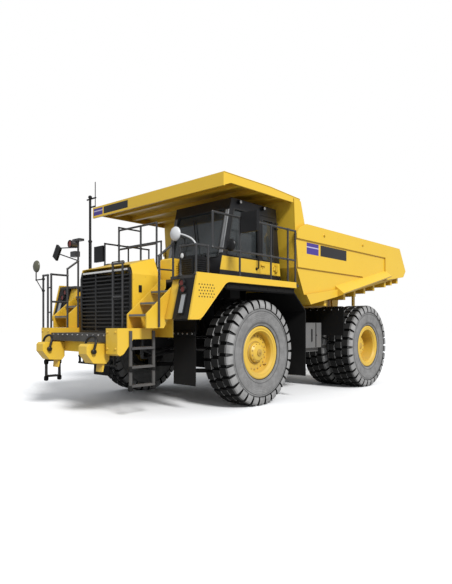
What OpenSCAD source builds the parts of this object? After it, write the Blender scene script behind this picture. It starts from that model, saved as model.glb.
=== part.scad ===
// Two-axle rigid mining dump truck with a rear-tipping body, in millimetres, +Z up.
// The truck faces -Y and its left side is +X. The origin is on the ground under its middle.
// Pieces are drawn with the front axle at y = 0, and on_axles() moves them to their place.

/* [Layout] */
// Front axle to rear axle
wheelbase = 4300; // [4200:10:4500]
// Front axle to the tips of the tow hooks
front_overhang = 3200; // [3150:10:3300]
// Rear axle to the tail of the body
rear_overhang = 2460; // [2400:10:2550]
// Middle of the truck to the outer edge of a mirror
mirror_reach = 2600; // [2500:10:2700]
// Top of the walkway deck
deck_z = 2450; // [2430:5:2500]
// Edge of the deck, from the middle
deck_half_w = 2200; // [2150:5:2250]
// Thickness of the deck plate with its stiffeners
deck_t = 50; // [30:5:60]

/* [Wheels] */
// Tyre over the lugs' tips
tyre_d = 2100; // [2060:5:2140]
// Tyre across its sidewalls
tyre_w = 655; // [620:5:680]
// Seat of the tyre's beads on the rim
seat_d = 890; // [870:5:910]
// Outer edge of the rim's flanges
flange_d = 1050; // [1020:5:1080]
// Rim between the flanges
rim_w = 490; // [460:5:520]
// Middle of left tyre to middle of right tyre, front
front_track = 3515; // [3480:5:3550]
// Middle of left twin to middle of right twin, rear
rear_track = 3080; // [3050:5:3110]
// Middle to middle of twin tyres
dual_spacing = 730; // [715:5:760]
// Lugs in each row of the tread
lug_count = 30; // [26:1:34]
// Length of a lug along the tread
lug_l = 150; // [130:5:160]
// Depth of the tread
tread_h = 62; // [50:2:70]

/* [Steering] */
// Middle of the truck to a kingpin
kingpin_x = 1230; // [1210:5:1250]
// Kingpin to the tie rod's pin
arm_len = 420; // [380:5:440]
// Radius of the strut's rod
strut_r = 95; // [85:1:105]
// Radius of the front wheel's spindle
spindle_r = 90; // [75:1:105]

/* [Frame] */
// Inner face of a rail, from the middle
rail_x = 480; // [470:5:500]
// Width of a rail
rail_w = 140; // [110:5:150]
// Top of the rails under the body
rail_top = 1890; // [1860:5:1900]
// Rear axle to the body's pivot pin
pivot_back = 950; // [900:10:1000]
// Height of the body's pivot pin
pivot_z = 1950; // [1930:5:1980]

/* [Hoist] */
// Body's pivot to the hoist's upper pin, along the truck
hoist_reach = 2300; // [2250:10:2350]
// Height of the upper pin over the pivot
hoist_rise = 200; // [180:5:220]
// Angle at the pivot between upper and lower pin
hoist_angle = 37; // [36:0.5:38]
// Middle of the truck to a cylinder
hoist_x = 330; // [320:5:340]
// Radius of a barrel
barrel_r = 120; // [112:1:125]

/* [Body] */
// Inner face of a side wall, from the middle
body_half_w = 2060; // [2000:5:2080]
// Thickness of the body's plates
plate_t = 40; // [25:5:50]
// Top edge of the side walls
side_top = 3800; // [3750:10:3900]
// Depth of the rail along the top of a side wall
side_rail_h = 350; // [300:10:400]
// How far that rail stands out
side_rail_w = 70; // [50:5:90]
// Rise of the floor for each unit of length
floor_rise = 0.19; // [0.18:0.005:0.2]
// Top of the canopy
canopy_top = 4375; // [4350:5:4450]
// Front edge of the canopy, ahead of the front axle
canopy_front = 1160; // [1100:10:1250]
// Rise of the rail along the foot of a side wall, for each unit of length
foot_rise = 0.225; // [0.21:0.005:0.23]
// How far that foot rail stands out
foot_rail_w = 230; // [150:5:240]
// Depth of the ribs under the floor
rib_h = 130; // [100:5:150]
// Depth of the canopy's front lip
canopy_lip = 250; // [200:10:260]

/* [Cab] */
// Inboard side of the cab
cab_in_x = 180; // [150:5:220]
// Door side of the cab
cab_out_x = 1750; // [1700:5:1780]
// Top of the cab's roof
cab_top = 4080; // [4000:5:4085]
// Thickness of the cab's walls and of its door
cab_wall = 60; // [50:5:70]
// Width of the door
door_w = 524; // [480:4:540]
// Gap around the door
door_gap = 6; // [5:0.5:8]

/* [Hood] */
// Half width of the hood
hood_half_w = 870; // [840:5:890]
// Thickness of the hood's walls
hood_t = 30; // [20:5:40]
// Front of the hood, ahead of the front axle
hood_front = 2250; // [2220:5:2280]
// Height of the hood over its front edge
hood_low = 2710; // [2680:5:2740]
// Rear of the hood, ahead of the front axle
hood_rear = 1630; // [1600:5:1660]
// Height of the hood at its rear
hood_high = 2880; // [2840:5:2920]

/* [Hidden] */
$fn = 48;

yellow = [0.93, 0.66, 0.06];
black = [0.06, 0.06, 0.065];
grey = [0.35, 0.36, 0.37];
rubber = [0.16, 0.16, 0.165];
steel = [0.62, 0.63, 0.65];
glass = [0.25, 0.32, 0.36];

run_gap = 0.3;   // running clearance of pins, bushes and hubs
seat_gap = 0.2;  // gap where sloped plates are seated on each other
move_gap = 6;    // clearance of a moving piece at rest

total_l = front_overhang + wheelbase + rear_overhang;
front_axle_y = front_overhang - total_l / 2;
axle_z = tyre_d / 2;
far = 12000;

front_wheel_x = front_track / 2;
rear_wheel_x = rear_track / 2;
rail_out = rail_x + rail_w;
rail_mid = rail_x + rail_w / 2;
rail_low_top = 1420;
rail_low = 1150;
rail_rear_low = 1530;
bumper_front = front_overhang - 320;
bumper_in = 950;
bumper_out = 1280;
bumper_top = 1545;
beam_front = front_overhang - 450;
rails_front = beam_front - 250;
deck_low = deck_z - deck_t;
deck_rear = 1100;

tail_y = wheelbase + rear_overhang;
pivot_y = wheelbase + pivot_back;
hoist_r = norm([hoist_reach, hoist_rise]);
upper_pin = [pivot_y - hoist_reach, pivot_z + hoist_rise];
lower_pin = [
  pivot_y - hoist_reach * cos(hoist_angle) - hoist_rise * sin(hoist_angle),
  pivot_z - hoist_reach * sin(hoist_angle) + hoist_rise * cos(hoist_angle)
];
hoist_len = 2 * hoist_r * sin(hoist_angle / 2);
hoist_lean = atan2(lower_pin[0] - upper_pin[0], upper_pin[1] - lower_pin[1]);
hoist_bracket_t = 40;
hoist_pin_r = 40;
eye_play = 38;
stage_r = barrel_r - 20;
rod_r = stage_r - 20;
pivot_pin_r = 60;
pivot_boss_r = 130;

cab_low_front = -920;
cab_low_rear = 1080;
cab_lean_front = 370;
cab_lean_rear = 190;
roof_low = cab_top - 150;
sill_z = deck_z + 190;
belt_z = deck_z + 500;
window_top = roof_low - 60;
door_rear = 860;
door_front = door_rear - door_w;
hinge_x = cab_out_x + 24;
hinge_y = door_rear + door_gap / 2;
hinge_zs = [sill_z + 160, window_top - 160];

floor_start = [1630, 2050];
foot_start = [2800, 2532];
ledge_z = 2840;
side_out = body_half_w + plate_t;
end_panel_y = tail_y - 1360;
canopy_bend = 230;
canopy_fall = 0.052;

function floor_z(y) = floor_start[1] + floor_rise * (y - floor_start[0]);
function foot_z(y) = foot_start[1] + foot_rise * (y - foot_start[0]);
function canopy_under(y) = canopy_top - plate_t - canopy_fall * max(0, y - canopy_bend);
function cab_front_y(z) = cab_low_front + cab_lean_front * (z - deck_z) / (cab_top - deck_z);
function cab_rear_y(z) = cab_low_rear - cab_lean_rear * (z - deck_z) / (cab_top - deck_z);

// moves pieces from the front axle's place to the part's frame
module on_axles() translate([0, front_axle_y, 0]) children();

// a piece and its mirror image on the right side
module both_sides() {
  children();
  mirror([1, 0, 0]) children();
}

// an outline in (y, z), extruded along x from x0
module side_profile(x0, w) translate([x0, 0, 0]) rotate([90, 0, 90]) linear_extrude(w) children();

// an outline in (x, z), extruded along y from y0
module front_profile(y0, w) translate([0, y0 + w, 0]) rotate([90, 0, 0]) linear_extrude(w) children();

// an outline in (x, y), extruded upwards from z0
module plan_profile(z0, h) translate([0, 0, z0]) linear_extrude(h) children();

// a box between two corners
module box(a, b) translate(a) cube(b - a);

// a cylinder along x at (y, z)
module pin_x(x0, x1, y, z, r) translate([x0, y, z]) rotate([0, 90, 0]) cylinder(h = x1 - x0, r = r);

// a cylinder along y at (x, z)
module pin_y(y0, y1, x, z, r) translate([x, y0, z]) rotate([-90, 0, 0]) cylinder(h = y1 - y0, r = r);

// a straight tube between two points
module bar(p, q, r) {
  d = q - p;
  l = norm(d);
  translate(p) rotate([0, acos(d[2] / l), atan2(d[1], d[0])]) cylinder(h = l, r = r, $fn = 24);
}

// a bent tube along points, with a round elbow at each inner point
module rail_tube(points, r) {
  for (i = [0 : len(points) - 2]) bar(points[i], points[i + 1], r);
  for (i = [1 : 1 : len(points) - 2]) translate(points[i]) sphere(r + 4, $fn = 24);
}

// all that lies over a sloped line in (y, z)
module space_over(start, rise) {
  translate([0, start[0], start[1]]) rotate([atan(rise), 0, 0])
    translate([-far / 2, -far / 2, 0]) cube(far);
}

// Wheels

module on_wheel(x, y) translate([x, y, axle_z]) rotate([0, 90, 0]) children();

// a ring with the same outline on both sides of its middle
module even_ring(flank) rotate_extrude($fn = 96)
  polygon(concat(flank, [for (i = [len(flank) - 1 : -1 : 0]) [flank[i][0], -flank[i][1]]]));

// blocks of one row of the tread, from x0 to x1 across it
module lug_row(x0, x1, turn) {
  for (i = [0 : lug_count - 1])
    rotate((i + turn) * 360 / lug_count) translate([tyre_d / 2 - 220, -lug_l / 2, x0])
      cube([300, lug_l, x1 - x0]);
}

module tyre_ring() {
  h = tyre_w / 2;
  b = rim_w / 2 - 0.5;
  r = tyre_d / 2;
  s = seat_d / 2 + run_gap;
  f = flange_d / 2 + 1;
  even_ring([
    [s, b], [f, b], [f + 15, b + 40], [f + 110, h - 14], [f + 235, h - 8], [r - 190, h - 14],
    [r - 150, h - 45], [r - tread_h, h - 95]
  ]);
  intersection() {
    even_ring([
      [r - tread_h - 30, h - 110], [r - 175, h - 22], [r - 170, h - 2], [r - 120, h], [r - 45, h - 20],
      [r - 15, h - 38], [r, h - 70]
    ]);
    union() {
      lug_row(105, h + 10, 0);
      lug_row(-h - 10, -105, 0.5);
      lug_row(-85, 85, 0.25);
    }
  }
}

// the rim's barrel with its two flanges, between -w and +w along the axle
module rim_barrel() {
  b = rim_w / 2;
  s = seat_d / 2;
  rotate_extrude($fn = 96) polygon([
    [s - 45, -b - 30], [flange_d / 2, -b - 30], [flange_d / 2, -b], [s, -b],
    [s, b], [flange_d / 2, b], [flange_d / 2, b + 30], [s - 15, b + 30], [s - 45, b - 20]
  ]);
}

module front_rim() {
  s = seat_d / 2;
  bore = spindle_r + run_gap;
  rim_barrel();
  rotate_extrude($fn = 96) polygon([[200, 90], [s - 30, 60], [s - 30, 105], [200, 135]]);
  rotate_extrude($fn = 96) polygon([
    [bore, -100], [210, -100], [210, 120], [196, 185], [150, 225], [60, 245],
    [0, 245], [0, 112], [bore, 112]
  ]);
}

module rear_rims() {
  s = seat_d / 2;
  bore = 180 + run_gap;
  for (side = [-1, 1]) translate([0, 0, side * dual_spacing / 2]) rim_barrel();
  rotate_extrude($fn = 96) polygon([
    [s - 45, -dual_spacing / 2], [s, -dual_spacing / 2], [s, dual_spacing / 2],
    [s - 45, dual_spacing / 2]
  ]);
  rotate_extrude($fn = 96) polygon([
    [bore, -560], [330, -560], [330, 225], [s - 30, 225], [s - 30, 280], [262, 280],
    [250, 400], [200, 430], [0, 430], [0, 240], [bore, 240]
  ]);
}

module tyre_front_left() color(rubber) on_axles() on_wheel(front_wheel_x, 0) tyre_ring();
module tyre_front_right() color(rubber) mirror([1, 0, 0])
  on_axles() on_wheel(front_wheel_x, 0) tyre_ring();
module rim_front_left() color(yellow) on_axles() on_wheel(front_wheel_x, 0) front_rim();
module rim_front_right() color(yellow) mirror([1, 0, 0])
  on_axles() on_wheel(front_wheel_x, 0) front_rim();

module twin_tyres() {
  for (side = [-1, 1])
    on_axles() on_wheel(rear_wheel_x + side * dual_spacing / 2, wheelbase) tyre_ring();
}

module tyres_rear_left() color(rubber) twin_tyres();
module tyres_rear_right() color(rubber) mirror([1, 0, 0]) twin_tyres();
module rims_rear_left() color(yellow) on_axles() on_wheel(rear_wheel_x, wheelbase) rear_rims();
module rims_rear_right() color(yellow) mirror([1, 0, 0])
  on_axles() on_wheel(rear_wheel_x, wheelbase) rear_rims();

// Steering and axles

tube_low = 1300;
eye_low = 600;
eye_top = 700;
tie_z = 1025;

module front_suspension() color(black) on_axles() both_sides() {
  difference() {
    translate([kingpin_x, 0, tube_low]) cylinder(h = deck_low - 250 - tube_low, r = strut_r + 35);
    translate([kingpin_x, 0, tube_low - 1]) cylinder(h = deck_low - 300 - tube_low, r = strut_r + run_gap);
  }
  difference() {
    union() {
      translate([kingpin_x, 0, eye_low]) cylinder(h = eye_top - eye_low, r = 130);
      for (s = [-1, 1])
        plan_profile(eye_low + 10, 80) polygon([
          [rail_out, s * 560], [rail_out, s * 680], [kingpin_x + 60, s * 60], [kingpin_x - 60, -s * 20]
        ]);
    }
    translate([kingpin_x, 0, eye_low - 1]) cylinder(h = 102, r = 60 + run_gap);
  }
}

module knuckle() {
  translate([kingpin_x, 0, 900]) cylinder(h = deck_low - 320 - 900, r = strut_r);
  box([kingpin_x - 100, -150, eye_top + 60], [kingpin_x + 100, 150, tube_low - 10]);
  translate([kingpin_x, 0, eye_low]) cylinder(h = 300, r = 60);
  pin_x(kingpin_x, front_wheel_x + 100, 0, axle_z, spindle_r);
  pin_x(kingpin_x + 90, front_wheel_x - 250, 0, axle_z, 235);
  box([kingpin_x - 45, 100, tie_z - 95], [kingpin_x + 45, arm_len, tie_z - 35]);
  translate([kingpin_x, arm_len, tie_z - 95]) cylinder(h = 60, r = 60);
  translate([kingpin_x, arm_len, tie_z - 60]) cylinder(h = 95, r = 30);
}

module knuckle_left() color(black) on_axles() knuckle();
module knuckle_right() color(black) on_axles() mirror([1, 0, 0]) knuckle();

module tie_rod() color(steel) on_axles() difference() {
  union() {
    pin_x(-kingpin_x + 40, kingpin_x - 40, arm_len, tie_z, 30);
    both_sides() translate([kingpin_x, arm_len, tie_z - 30]) cylinder(h = 60, r = 58);
  }
  both_sides() translate([kingpin_x, arm_len, tie_z - 40]) cylinder(h = 80, r = 30 + run_gap);
}

// the axle housing, bulged round the differential, with its spindles and spring seats
module rear_axle() color(black) on_axles() {
  translate([0, wheelbase, axle_z]) rotate([0, 90, 0]) rotate_extrude($fn = 48) polygon([
    [0, -rear_wheel_x - 230], [180, -rear_wheel_x - 230], [180, -900], [220, -880], [220, -420],
    [380, -180], [380, 180], [220, 420], [220, 880], [180, 900], [180, rear_wheel_x + 230],
    [0, rear_wheel_x + 230]
  ]);
  pin_y(wheelbase - 420, wheelbase, 0, axle_z + 70, 120);
  both_sides() box([rail_x, wheelbase - 240, axle_z], [rail_out, wheelbase + 100, axle_z + 240]);
}

module rear_suspension() color(black) on_axles() both_sides() {
  arm_in = rail_x + hoist_bracket_t + 10;
  arm_out = rail_out - 10;
  translate([rail_mid, wheelbase, axle_z + 240]) cylinder(h = rail_rear_low - axle_z - 240, r = 60);
  box([arm_in, wheelbase - 790, axle_z + 40], [arm_out, wheelbase - 240, axle_z + 140]);
  box([arm_in, wheelbase - 790, axle_z + 130], [arm_out, wheelbase - 710, rail_rear_low]);
}

module driveline() color(grey) on_axles() {
  box([-300, -250, rail_low], [300, 700, 1750]);
  pin_y(700, wheelbase - 420, 0, axle_z + 70, 60);
  pin_y(700, 780, 0, axle_z + 70, 100);
  pin_y(wheelbase - 500, wheelbase - 420, 0, axle_z + 70, 100);
}

// Frame

module frame() color(black) on_axles() {
  difference() {
    both_sides() {
      side_profile(rail_x, rail_w) polygon([
        [-rails_front, rail_low], [900, rail_low], [1500, rail_rear_low], [pivot_y + 150, rail_rear_low],
        [pivot_y + 150, rail_top], [1400, rail_top], [800, rail_low_top], [-rails_front, rail_low_top]
      ]);
      pin_x(rail_x, rail_out, pivot_y, pivot_z, pivot_boss_r);
      side_profile(rail_x, hoist_bracket_t) polygon([
        [lower_pin[0] - 220, rail_rear_low + 10], [lower_pin[0] - 100, lower_pin[1]],
        [lower_pin[0] + 100, lower_pin[1]], [lower_pin[0] + 220, rail_rear_low + 10]
      ]);
      pin_x(rail_x, rail_x + hoist_bracket_t, lower_pin[0], lower_pin[1], 100);
      for (s = [-1, 1])
        box([rail_x, s * 620 - 60, eye_low], [rail_out, s * 620 + 60, rail_low + 10]);
      box([rail_x, -150, rail_low_top - 10], [rail_out, 150, deck_low - 250]);
      box([rail_x, 850, rail_low_top - 20], [rail_out, 950, deck_low]);
    }
    both_sides() pin_x(rail_x - 1, rail_out + 1, pivot_y, pivot_z, pivot_pin_r + run_gap);
  }
  pin_x(-rail_x - 40, rail_x + 40, lower_pin[0], lower_pin[1], 45);
  box([-kingpin_x - 130, -150, deck_low - 250], [kingpin_x + 130, 150, deck_low]);
  for (y = [1750, wheelbase - 450, wheelbase + 700]) pin_x(-rail_x, rail_x, y, rail_top - 170, 90);
  pin_x(-rail_x, rail_x, -rails_front + 100, rail_low + 120, 90);
}

module bumper() color(yellow) on_axles() {
  box([-bumper_in, -beam_front, 1100], [bumper_in, -rails_front, rail_low_top]);
  both_sides() side_profile(bumper_in, bumper_out - bumper_in) polygon([
    [-bumper_front, 1110], [-bumper_front + 60, 1080], [-bumper_front + 130, 1110],
    [-bumper_front + 330, 1355], [-2100, 1355], [-2100, bumper_top], [-bumper_front, bumper_top]
  ]);
}

// the step across the bumper, with a lip in front of the beam
module bumper_platform() color(black) on_axles() side_profile(-bumper_in, 2 * bumper_in) polygon([
  [-beam_front - 100, 1300], [-beam_front, 1300], [-beam_front, rail_low_top],
  [-hood_front - 35, rail_low_top], [-hood_front - 35, rail_low_top + 30],
  [-beam_front - 100, rail_low_top + 30]
]);

hook_x = 740;
hook_w = 250;
hook_pin = [-front_overhang + 120, 1150];

module tow_hooks() color(yellow) on_axles() both_sides() difference() {
  union() {
    side_profile(hook_x - hook_w / 2, hook_w) polygon([
      [-front_overhang, 1110], [-front_overhang + 130, 950], [-beam_front - 60, 930], [-beam_front, 1000],
      [-beam_front, 1280], [-front_overhang + 40, 1280], [-front_overhang, 1240]
    ]);
    side_profile(hook_x - 90, 180) polygon([
      [-beam_front - 110, 940], [-beam_front - 130, 790], [-beam_front - 100, 790], [-beam_front - 70, 940]
    ]);
  }
  pin_x(hook_x - hook_w / 2 - 1, hook_x + hook_w / 2 + 1, hook_pin[0], hook_pin[1], 32.5);
}

// a ladder hung from the bumper's outer face, between two places behind its front
module ladder(front, rear) translate([bumper_out, -bumper_front, 0]) {
  for (y = [front, rear]) box([0, y - 25, 500], [30, y + 25, 1500]);
  for (z = [540, 860, 1180]) box([0, front, z], [60, rear, z + 40]);
}

module front_ladders() color(grey) on_axles() {
  ladder(260, 760);
  mirror([1, 0, 0]) ladder(110, 400);
}

stair_in = 1000;
stair_out = 1550;

module stairs() color(yellow) on_axles() both_sides() {
  for (x = [stair_in, stair_out - 30])
    side_profile(x, 30) polygon([
      [-2480, bumper_top], [-2100, bumper_top], [-1600, 2300], [-1600, deck_z], [-1700, deck_z],
      [-2480, 1790]
    ]);
  for (i = [0 : 2])
    translate([stair_in + 30, -2460 + i * 250, 1740 + i * 215]) cube([stair_out - stair_in - 60, 250, 40]);
  box([stair_in + 30, -1900, 1380], [stair_out, -1880, 1850]);
}

module deck() color(black) on_axles() {
  box([-deck_half_w, -hood_rear + 30, deck_low], [deck_half_w, deck_rear, deck_z]);
  both_sides() box([1560, -1955, deck_low], [deck_half_w, -hood_rear + 30, deck_z]);
}

// Hood

// the hood's outer form, drawn in by t: sloped on top, with chamfered upper edges
module hood_block(t) {
  intersection() {
    side_profile(-hood_half_w + t, 2 * (hood_half_w - t)) polygon([
      [-hood_front - 3 * t, rail_low_top - t * 4], [-hood_rear - t, rail_low_top - t * 4],
      [-hood_rear - t, hood_high - t], [-hood_front - 3 * t, hood_low - t]
    ]);
    front_profile(-hood_front - 200, 2000) polygon([
      [-hood_half_w + t, 1200], [hood_half_w - t, 1200], [hood_half_w - t, hood_low - 180],
      [hood_half_w - 150 - t, hood_high], [-hood_half_w + 150 + t, hood_high],
      [-hood_half_w + t, hood_low - 180]
    ]);
  }
}

// an electrical cabinet on the deck, between the hood and the cab
module cowl_box() color(yellow) on_axles()
  side_profile(hood_half_w, 300) polygon([
    [-hood_rear + 30, deck_z], [cab_low_front - 40, deck_z], [cab_low_front - 40, deck_z + 330],
    [cab_low_front - 120, deck_z + 400], [-hood_rear + 60, deck_z + 400], [-hood_rear + 30, deck_z + 370]
  ]);

// a shell with an open mouth, whose rear wall stands on the deck and leaves the engine free
module hood() color(yellow) on_axles() difference() {
  hood_block(0);
  hood_block(hood_t);
  translate([-hood_half_w + hood_t, -hood_rear - hood_t - 1, 1000])
    cube([2 * (hood_half_w - hood_t), hood_t + 2, deck_low - 1000]);
}

// the outline of the grille, which fills the hood's mouth
module grille_outline(t) {
  w = hood_half_w - hood_t - t;
  polygon([
    [-w, 1440 + t], [w, 1440 + t], [w, hood_low - 185], [w - 53, hood_low - 60 - t],
    [-w + 53, hood_low - 60 - t], [-w, hood_low - 185]
  ]);
}

module grille() color(black) on_axles() {
  slats = 15;
  pitch = (hood_low - 60 - 1440 - 100) / slats;
  difference() {
    front_profile(-hood_front - 20, 40) grille_outline(0);
    front_profile(-hood_front - 21, 42) grille_outline(50);
  }
  intersection() {
    union() {
      for (i = [1 : slats - 1])
        translate([-hood_half_w, -hood_front - 10, 1490 + i * pitch - 14]) cube([2 * hood_half_w, 20, 28]);
      for (x = [-300, 300]) box([x - 20, -hood_front - 14, 1450], [x + 20, -hood_front + 14, hood_low]);
    }
    front_profile(-hood_front - 21, 42) grille_outline(45);
  }
}

module radiator() color(black) on_axles() box(
  [-hood_half_w + hood_t, -hood_front + 100, rail_low_top], [hood_half_w - hood_t, -hood_front + 300, 2400]);

module engine() color(grey) on_axles()
  box([-rail_x, -hood_front + 350, 1200], [rail_x, -250, deck_low - 120]);

// the intake canister on the right deck, with its rain cap
module air_cleaner() color(black) on_axles() translate([-1250, -1250, deck_z]) rotate_extrude() polygon([
  [0, 0], [200, 0], [200, 380], [170, 410], [90, 410], [90, 440], [150, 450], [150, 490], [80, 515], [0, 515]
]);

// Fenders, lamps, guards, tanks

module fender() {
  side_profile(deck_half_w, 40) polygon([
    [-2145, 1690], [-1890, 1690], [-1230, deck_low - 30], [950, deck_low - 30], [950, deck_z + 40],
    [-1955, deck_z + 40]
  ]);
  side_profile(1560, 250) polygon([
    [-2085, 1700], [-2045, 1700], [-1855, deck_low], [-1895, deck_low]
  ]);
}

module fender_left() color(yellow) on_axles() fender();
module fender_right() color(yellow) on_axles() mirror([1, 0, 0]) fender();

module lamp_panel() side_profile(1810, deck_half_w - 1810)
  polygon([[-2140, 1700], [-1890, 1700], [-1700, deck_low], [-1955, deck_low]]);

module lamp_panels() color(black) on_axles() both_sides() lamp_panel();

// the lamps' faces lie on a line with the panel's sloped front
function panel_y(z) = -2140 + (z - 1700) * 185 / (deck_low - 1700);

module headlamps() color(glass) on_axles() both_sides() difference() {
  union() {
    pin_y(panel_y(2320) - 30, -1800, 1900, 2320, 55);
    pin_y(panel_y(2210) - 30, -1800, 1960, 2210, 55);
    side_profile(1955, 90) polygon([
      [panel_y(1800) - 25, 1800], [-1800, 1800], [-1800, 2130], [panel_y(2130) - 25, 2130]
    ]);
  }
  lamp_panel();
  translate([1000, -1955, 1500]) cube([2000, 1500, 2000]);
}

guard_y = wheelbase - tyre_d / 2 - 130;

module mudguards() color(black) on_axles() both_sides() {
  box([rail_out, -1470, 1400], [1650, -1425, 1480]);
  box([1050, -1425, 480], [1650, -1415, 1680]);
  side_profile(rail_out, 2150 - rail_out) polygon([
    [950, 2300], [1420, 1900], [1420, 490], [1445, 490], [1445, 1912], [966, 2320]
  ]);
  box([rail_out, guard_y, 1340], [2140, guard_y + 25, 2030]);
}

tank_front = 1750;
tank_rear = guard_y - 220;
tank_out = 1650;

module tank() {
  difference() {
    box([rail_out, tank_front, 950], [tank_out, tank_rear, 1650]);
    box([tank_out - 100, tank_front - 1, 949], [tank_out + 1, tank_rear + 1, 1050]);
  }
}

module hydraulic_tank() color(grey) on_axles() tank();
module fuel_tank() color(grey) on_axles() mirror([1, 0, 0]) tank();

// Rails, mirrors, mast

rail_r = 20;
post_x = deck_half_w - 25;

rail_top_z = 3580;
mid_rail_z = 2960;
side_rail_front = -1526;

module handrails_left() color(black) on_axles() {
  for (y = [-800, 150, 730]) bar([post_x, y, deck_z], [post_x, y, rail_top_z], rail_r);
  rail_tube([
    [post_x, 1000, deck_z], [post_x, 1000, rail_top_z], [post_x, side_rail_front, rail_top_z],
    [post_x, side_rail_front, mid_rail_z], [post_x, 1000, mid_rail_z]
  ], rail_r);
}

module handrails_right() color(black) on_axles() {
  corner_y = -70;
  tall_z = 4030;
  rail_tube([
    [-post_x, -774, deck_z], [-post_x, -774, rail_top_z], [-post_x, 594, rail_top_z], [-post_x, 594, deck_z]
  ], rail_r);
  bar([-post_x, -774, mid_rail_z], [-post_x, 594, mid_rail_z], rail_r);
  bar([-post_x, corner_y, deck_z], [-post_x, corner_y, rail_top_z], rail_r);
  rail_tube([
    [-post_x, corner_y, rail_top_z], [-900, corner_y, rail_top_z], [-900, corner_y, deck_z]
  ], rail_r);
  bar([-post_x, corner_y, mid_rail_z], [-900, corner_y, mid_rail_z], rail_r);
  rail_tube([
    [-post_x, -362, deck_z], [-post_x, -362, tall_z], [-post_x, 329, tall_z], [-post_x, 329, deck_z]
  ], rail_r);
}

// rails round the front stairs and behind the hood, and the grab rail before the grille
gate_x = -bumper_in - 25;
gate_front = -bumper_front + 45;
gate_rear = -2480;
lamp_post_y = -2237;
hairpin_y = -2850;
hairpin_x = [-1262, -1079];
cross_rail_y = -hood_rear + 80;
grab_y = -hood_front - 100;
guard_front = -1930;

module handrails_front() color(black) on_axles() {
  rail_tube([
    [hairpin_x[0], hairpin_y, bumper_top], [hairpin_x[0], hairpin_y, 2590], [hairpin_x[1], hairpin_y, 2590],
    [hairpin_x[1], hairpin_y, bumper_top]
  ], rail_r);
  rail_tube([
    [gate_x, gate_front, bumper_top], [gate_x, gate_front, 2600], [gate_x, gate_rear, 2600],
    [gate_x, gate_rear, bumper_top]
  ], rail_r);
  bar([gate_x, gate_front, 2060], [gate_x, gate_rear, 2060], rail_r);
  bar([gate_x, gate_front, 2340], [hairpin_x[1], hairpin_y, 2340], 14);
  bar([gate_x, gate_front, 1850], [hairpin_x[1], hairpin_y, 1850], 14);
  rail_tube([
    [gate_x, gate_rear, 2600], [gate_x, gate_rear, 2735], [gate_x, lamp_post_y, 2914],
    [gate_x, lamp_post_y, bumper_top]
  ], rail_r);
  bar([gate_x, lamp_post_y, 2914], [gate_x, lamp_post_y, 3330], rail_r);
  box([gate_x - 130, lamp_post_y - 60, 3325], [gate_x + 130, lamp_post_y + 60, 3370]);
  pin_y(lamp_post_y - 150, lamp_post_y - 20, gate_x - 60, 3260, 75);
  box([gate_x - 190, lamp_post_y - 70, 3010], [gate_x - 10, lamp_post_y + 50, 3120]);
  rail_tube([
    [stair_out + rail_r + run_gap, -2225, bumper_top + 20], [stair_out + rail_r + run_gap, -2225, 2790],
    [1600, guard_front, 3030], [1600, guard_front, deck_z]
  ], rail_r);
  bar([stair_out + rail_r + run_gap, -2225, 2560], [1600, guard_front, 2560], 14);
  rail_tube([
    [1790, guard_front, deck_z], [1790, guard_front, mid_rail_z], [post_x, guard_front, mid_rail_z],
    [post_x, -1640, mid_rail_z], [post_x, -1640, deck_z]
  ], rail_r);
  bar([post_x, guard_front, deck_z], [post_x, guard_front, mid_rail_z], rail_r);
  for (x = [-520, 210]) bar([x, cross_rail_y, deck_z], [x, cross_rail_y, rail_top_z], rail_r);
  rail_tube([
    [-520, cross_rail_y, rail_top_z], [700, cross_rail_y, rail_top_z], [700, cross_rail_y, deck_z]
  ], rail_r);
  bar([-520, cross_rail_y, 3180], [700, cross_rail_y, 3180], rail_r);
  rail_tube([
    [400, grab_y, rail_low_top + 30], [400, grab_y, 2730], [700, grab_y, 2730],
    [700, grab_y, rail_low_top + 30]
  ], rail_r);
  bar([400, grab_y, 2116], [700, grab_y, 2116], rail_r);
}

// a convex mirror with its domed back to the front
module round_mirror(p, r) translate(p) rotate([90, 0, 0]) rotate_extrude() polygon([
  [0, 0], [r, 0], [r, 15], [r * 0.9, 32], [r * 0.6, 52], [0, 66]
]);

module mirrors_left() color(black) on_axles() {
  box([mirror_reach - 380, -830, 3290], [mirror_reach, -770, 3660]);
  bar([post_x + rail_r, -800, 3450], [mirror_reach - 380, -800, 3450], 15);
  rail_tube([
    [post_x + rail_r + run_gap, -1190, mid_rail_z], [2300, -1190, mid_rail_z], [2300, -1190, 3020]
  ], 12);
  round_mirror([2300, -1180, 3020], 110);
  rail_tube([
    [1900, guard_front, mid_rail_z + rail_r + run_gap], [1900, guard_front, 3080], [1730, -2000, 3180]
  ], 12);
  round_mirror([1730, -1985, 3180], 120);
}

// An arm that leans up from the lamp post; the upper edge of its foot stops just short of the post.
module mirror_arm(z, end, r) {
  foot = [gate_x - rail_r - run_gap, lamp_post_y, z];
  lean = (end[2] - z) / norm(end - foot);
  bar(foot - [r * lean, 0, 0], end, r);
}

module mirrors_right() color(black) on_axles() {
  box([-mirror_reach, -804, 3150], [-mirror_reach + 380, -744, 3540]);
  bar([-mirror_reach + 380, -774, 3350], [-post_x - rail_r, -774, 3350], 15);
  rail_tube([
    [hairpin_x[0] - rail_r - run_gap, hairpin_y, 2520], [-1560, hairpin_y, 2520], [-1560, hairpin_y, 2760]
  ], 12);
  round_mirror([-1560, hairpin_y + 20, 2800], 119);
  mirror_arm(3200, [-1745, lamp_post_y, 3262], 12);
  mirror_arm(2930, [-1790, lamp_post_y, 3150], 12);
  translate([-1820, lamp_post_y, 3170]) rotate([0, 35, 0])
    translate([-90, -25, -150]) cube([180, 50, 300]);
}

mast_x = -950;
mast_y = -1970;
whip_x = -760;

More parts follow.
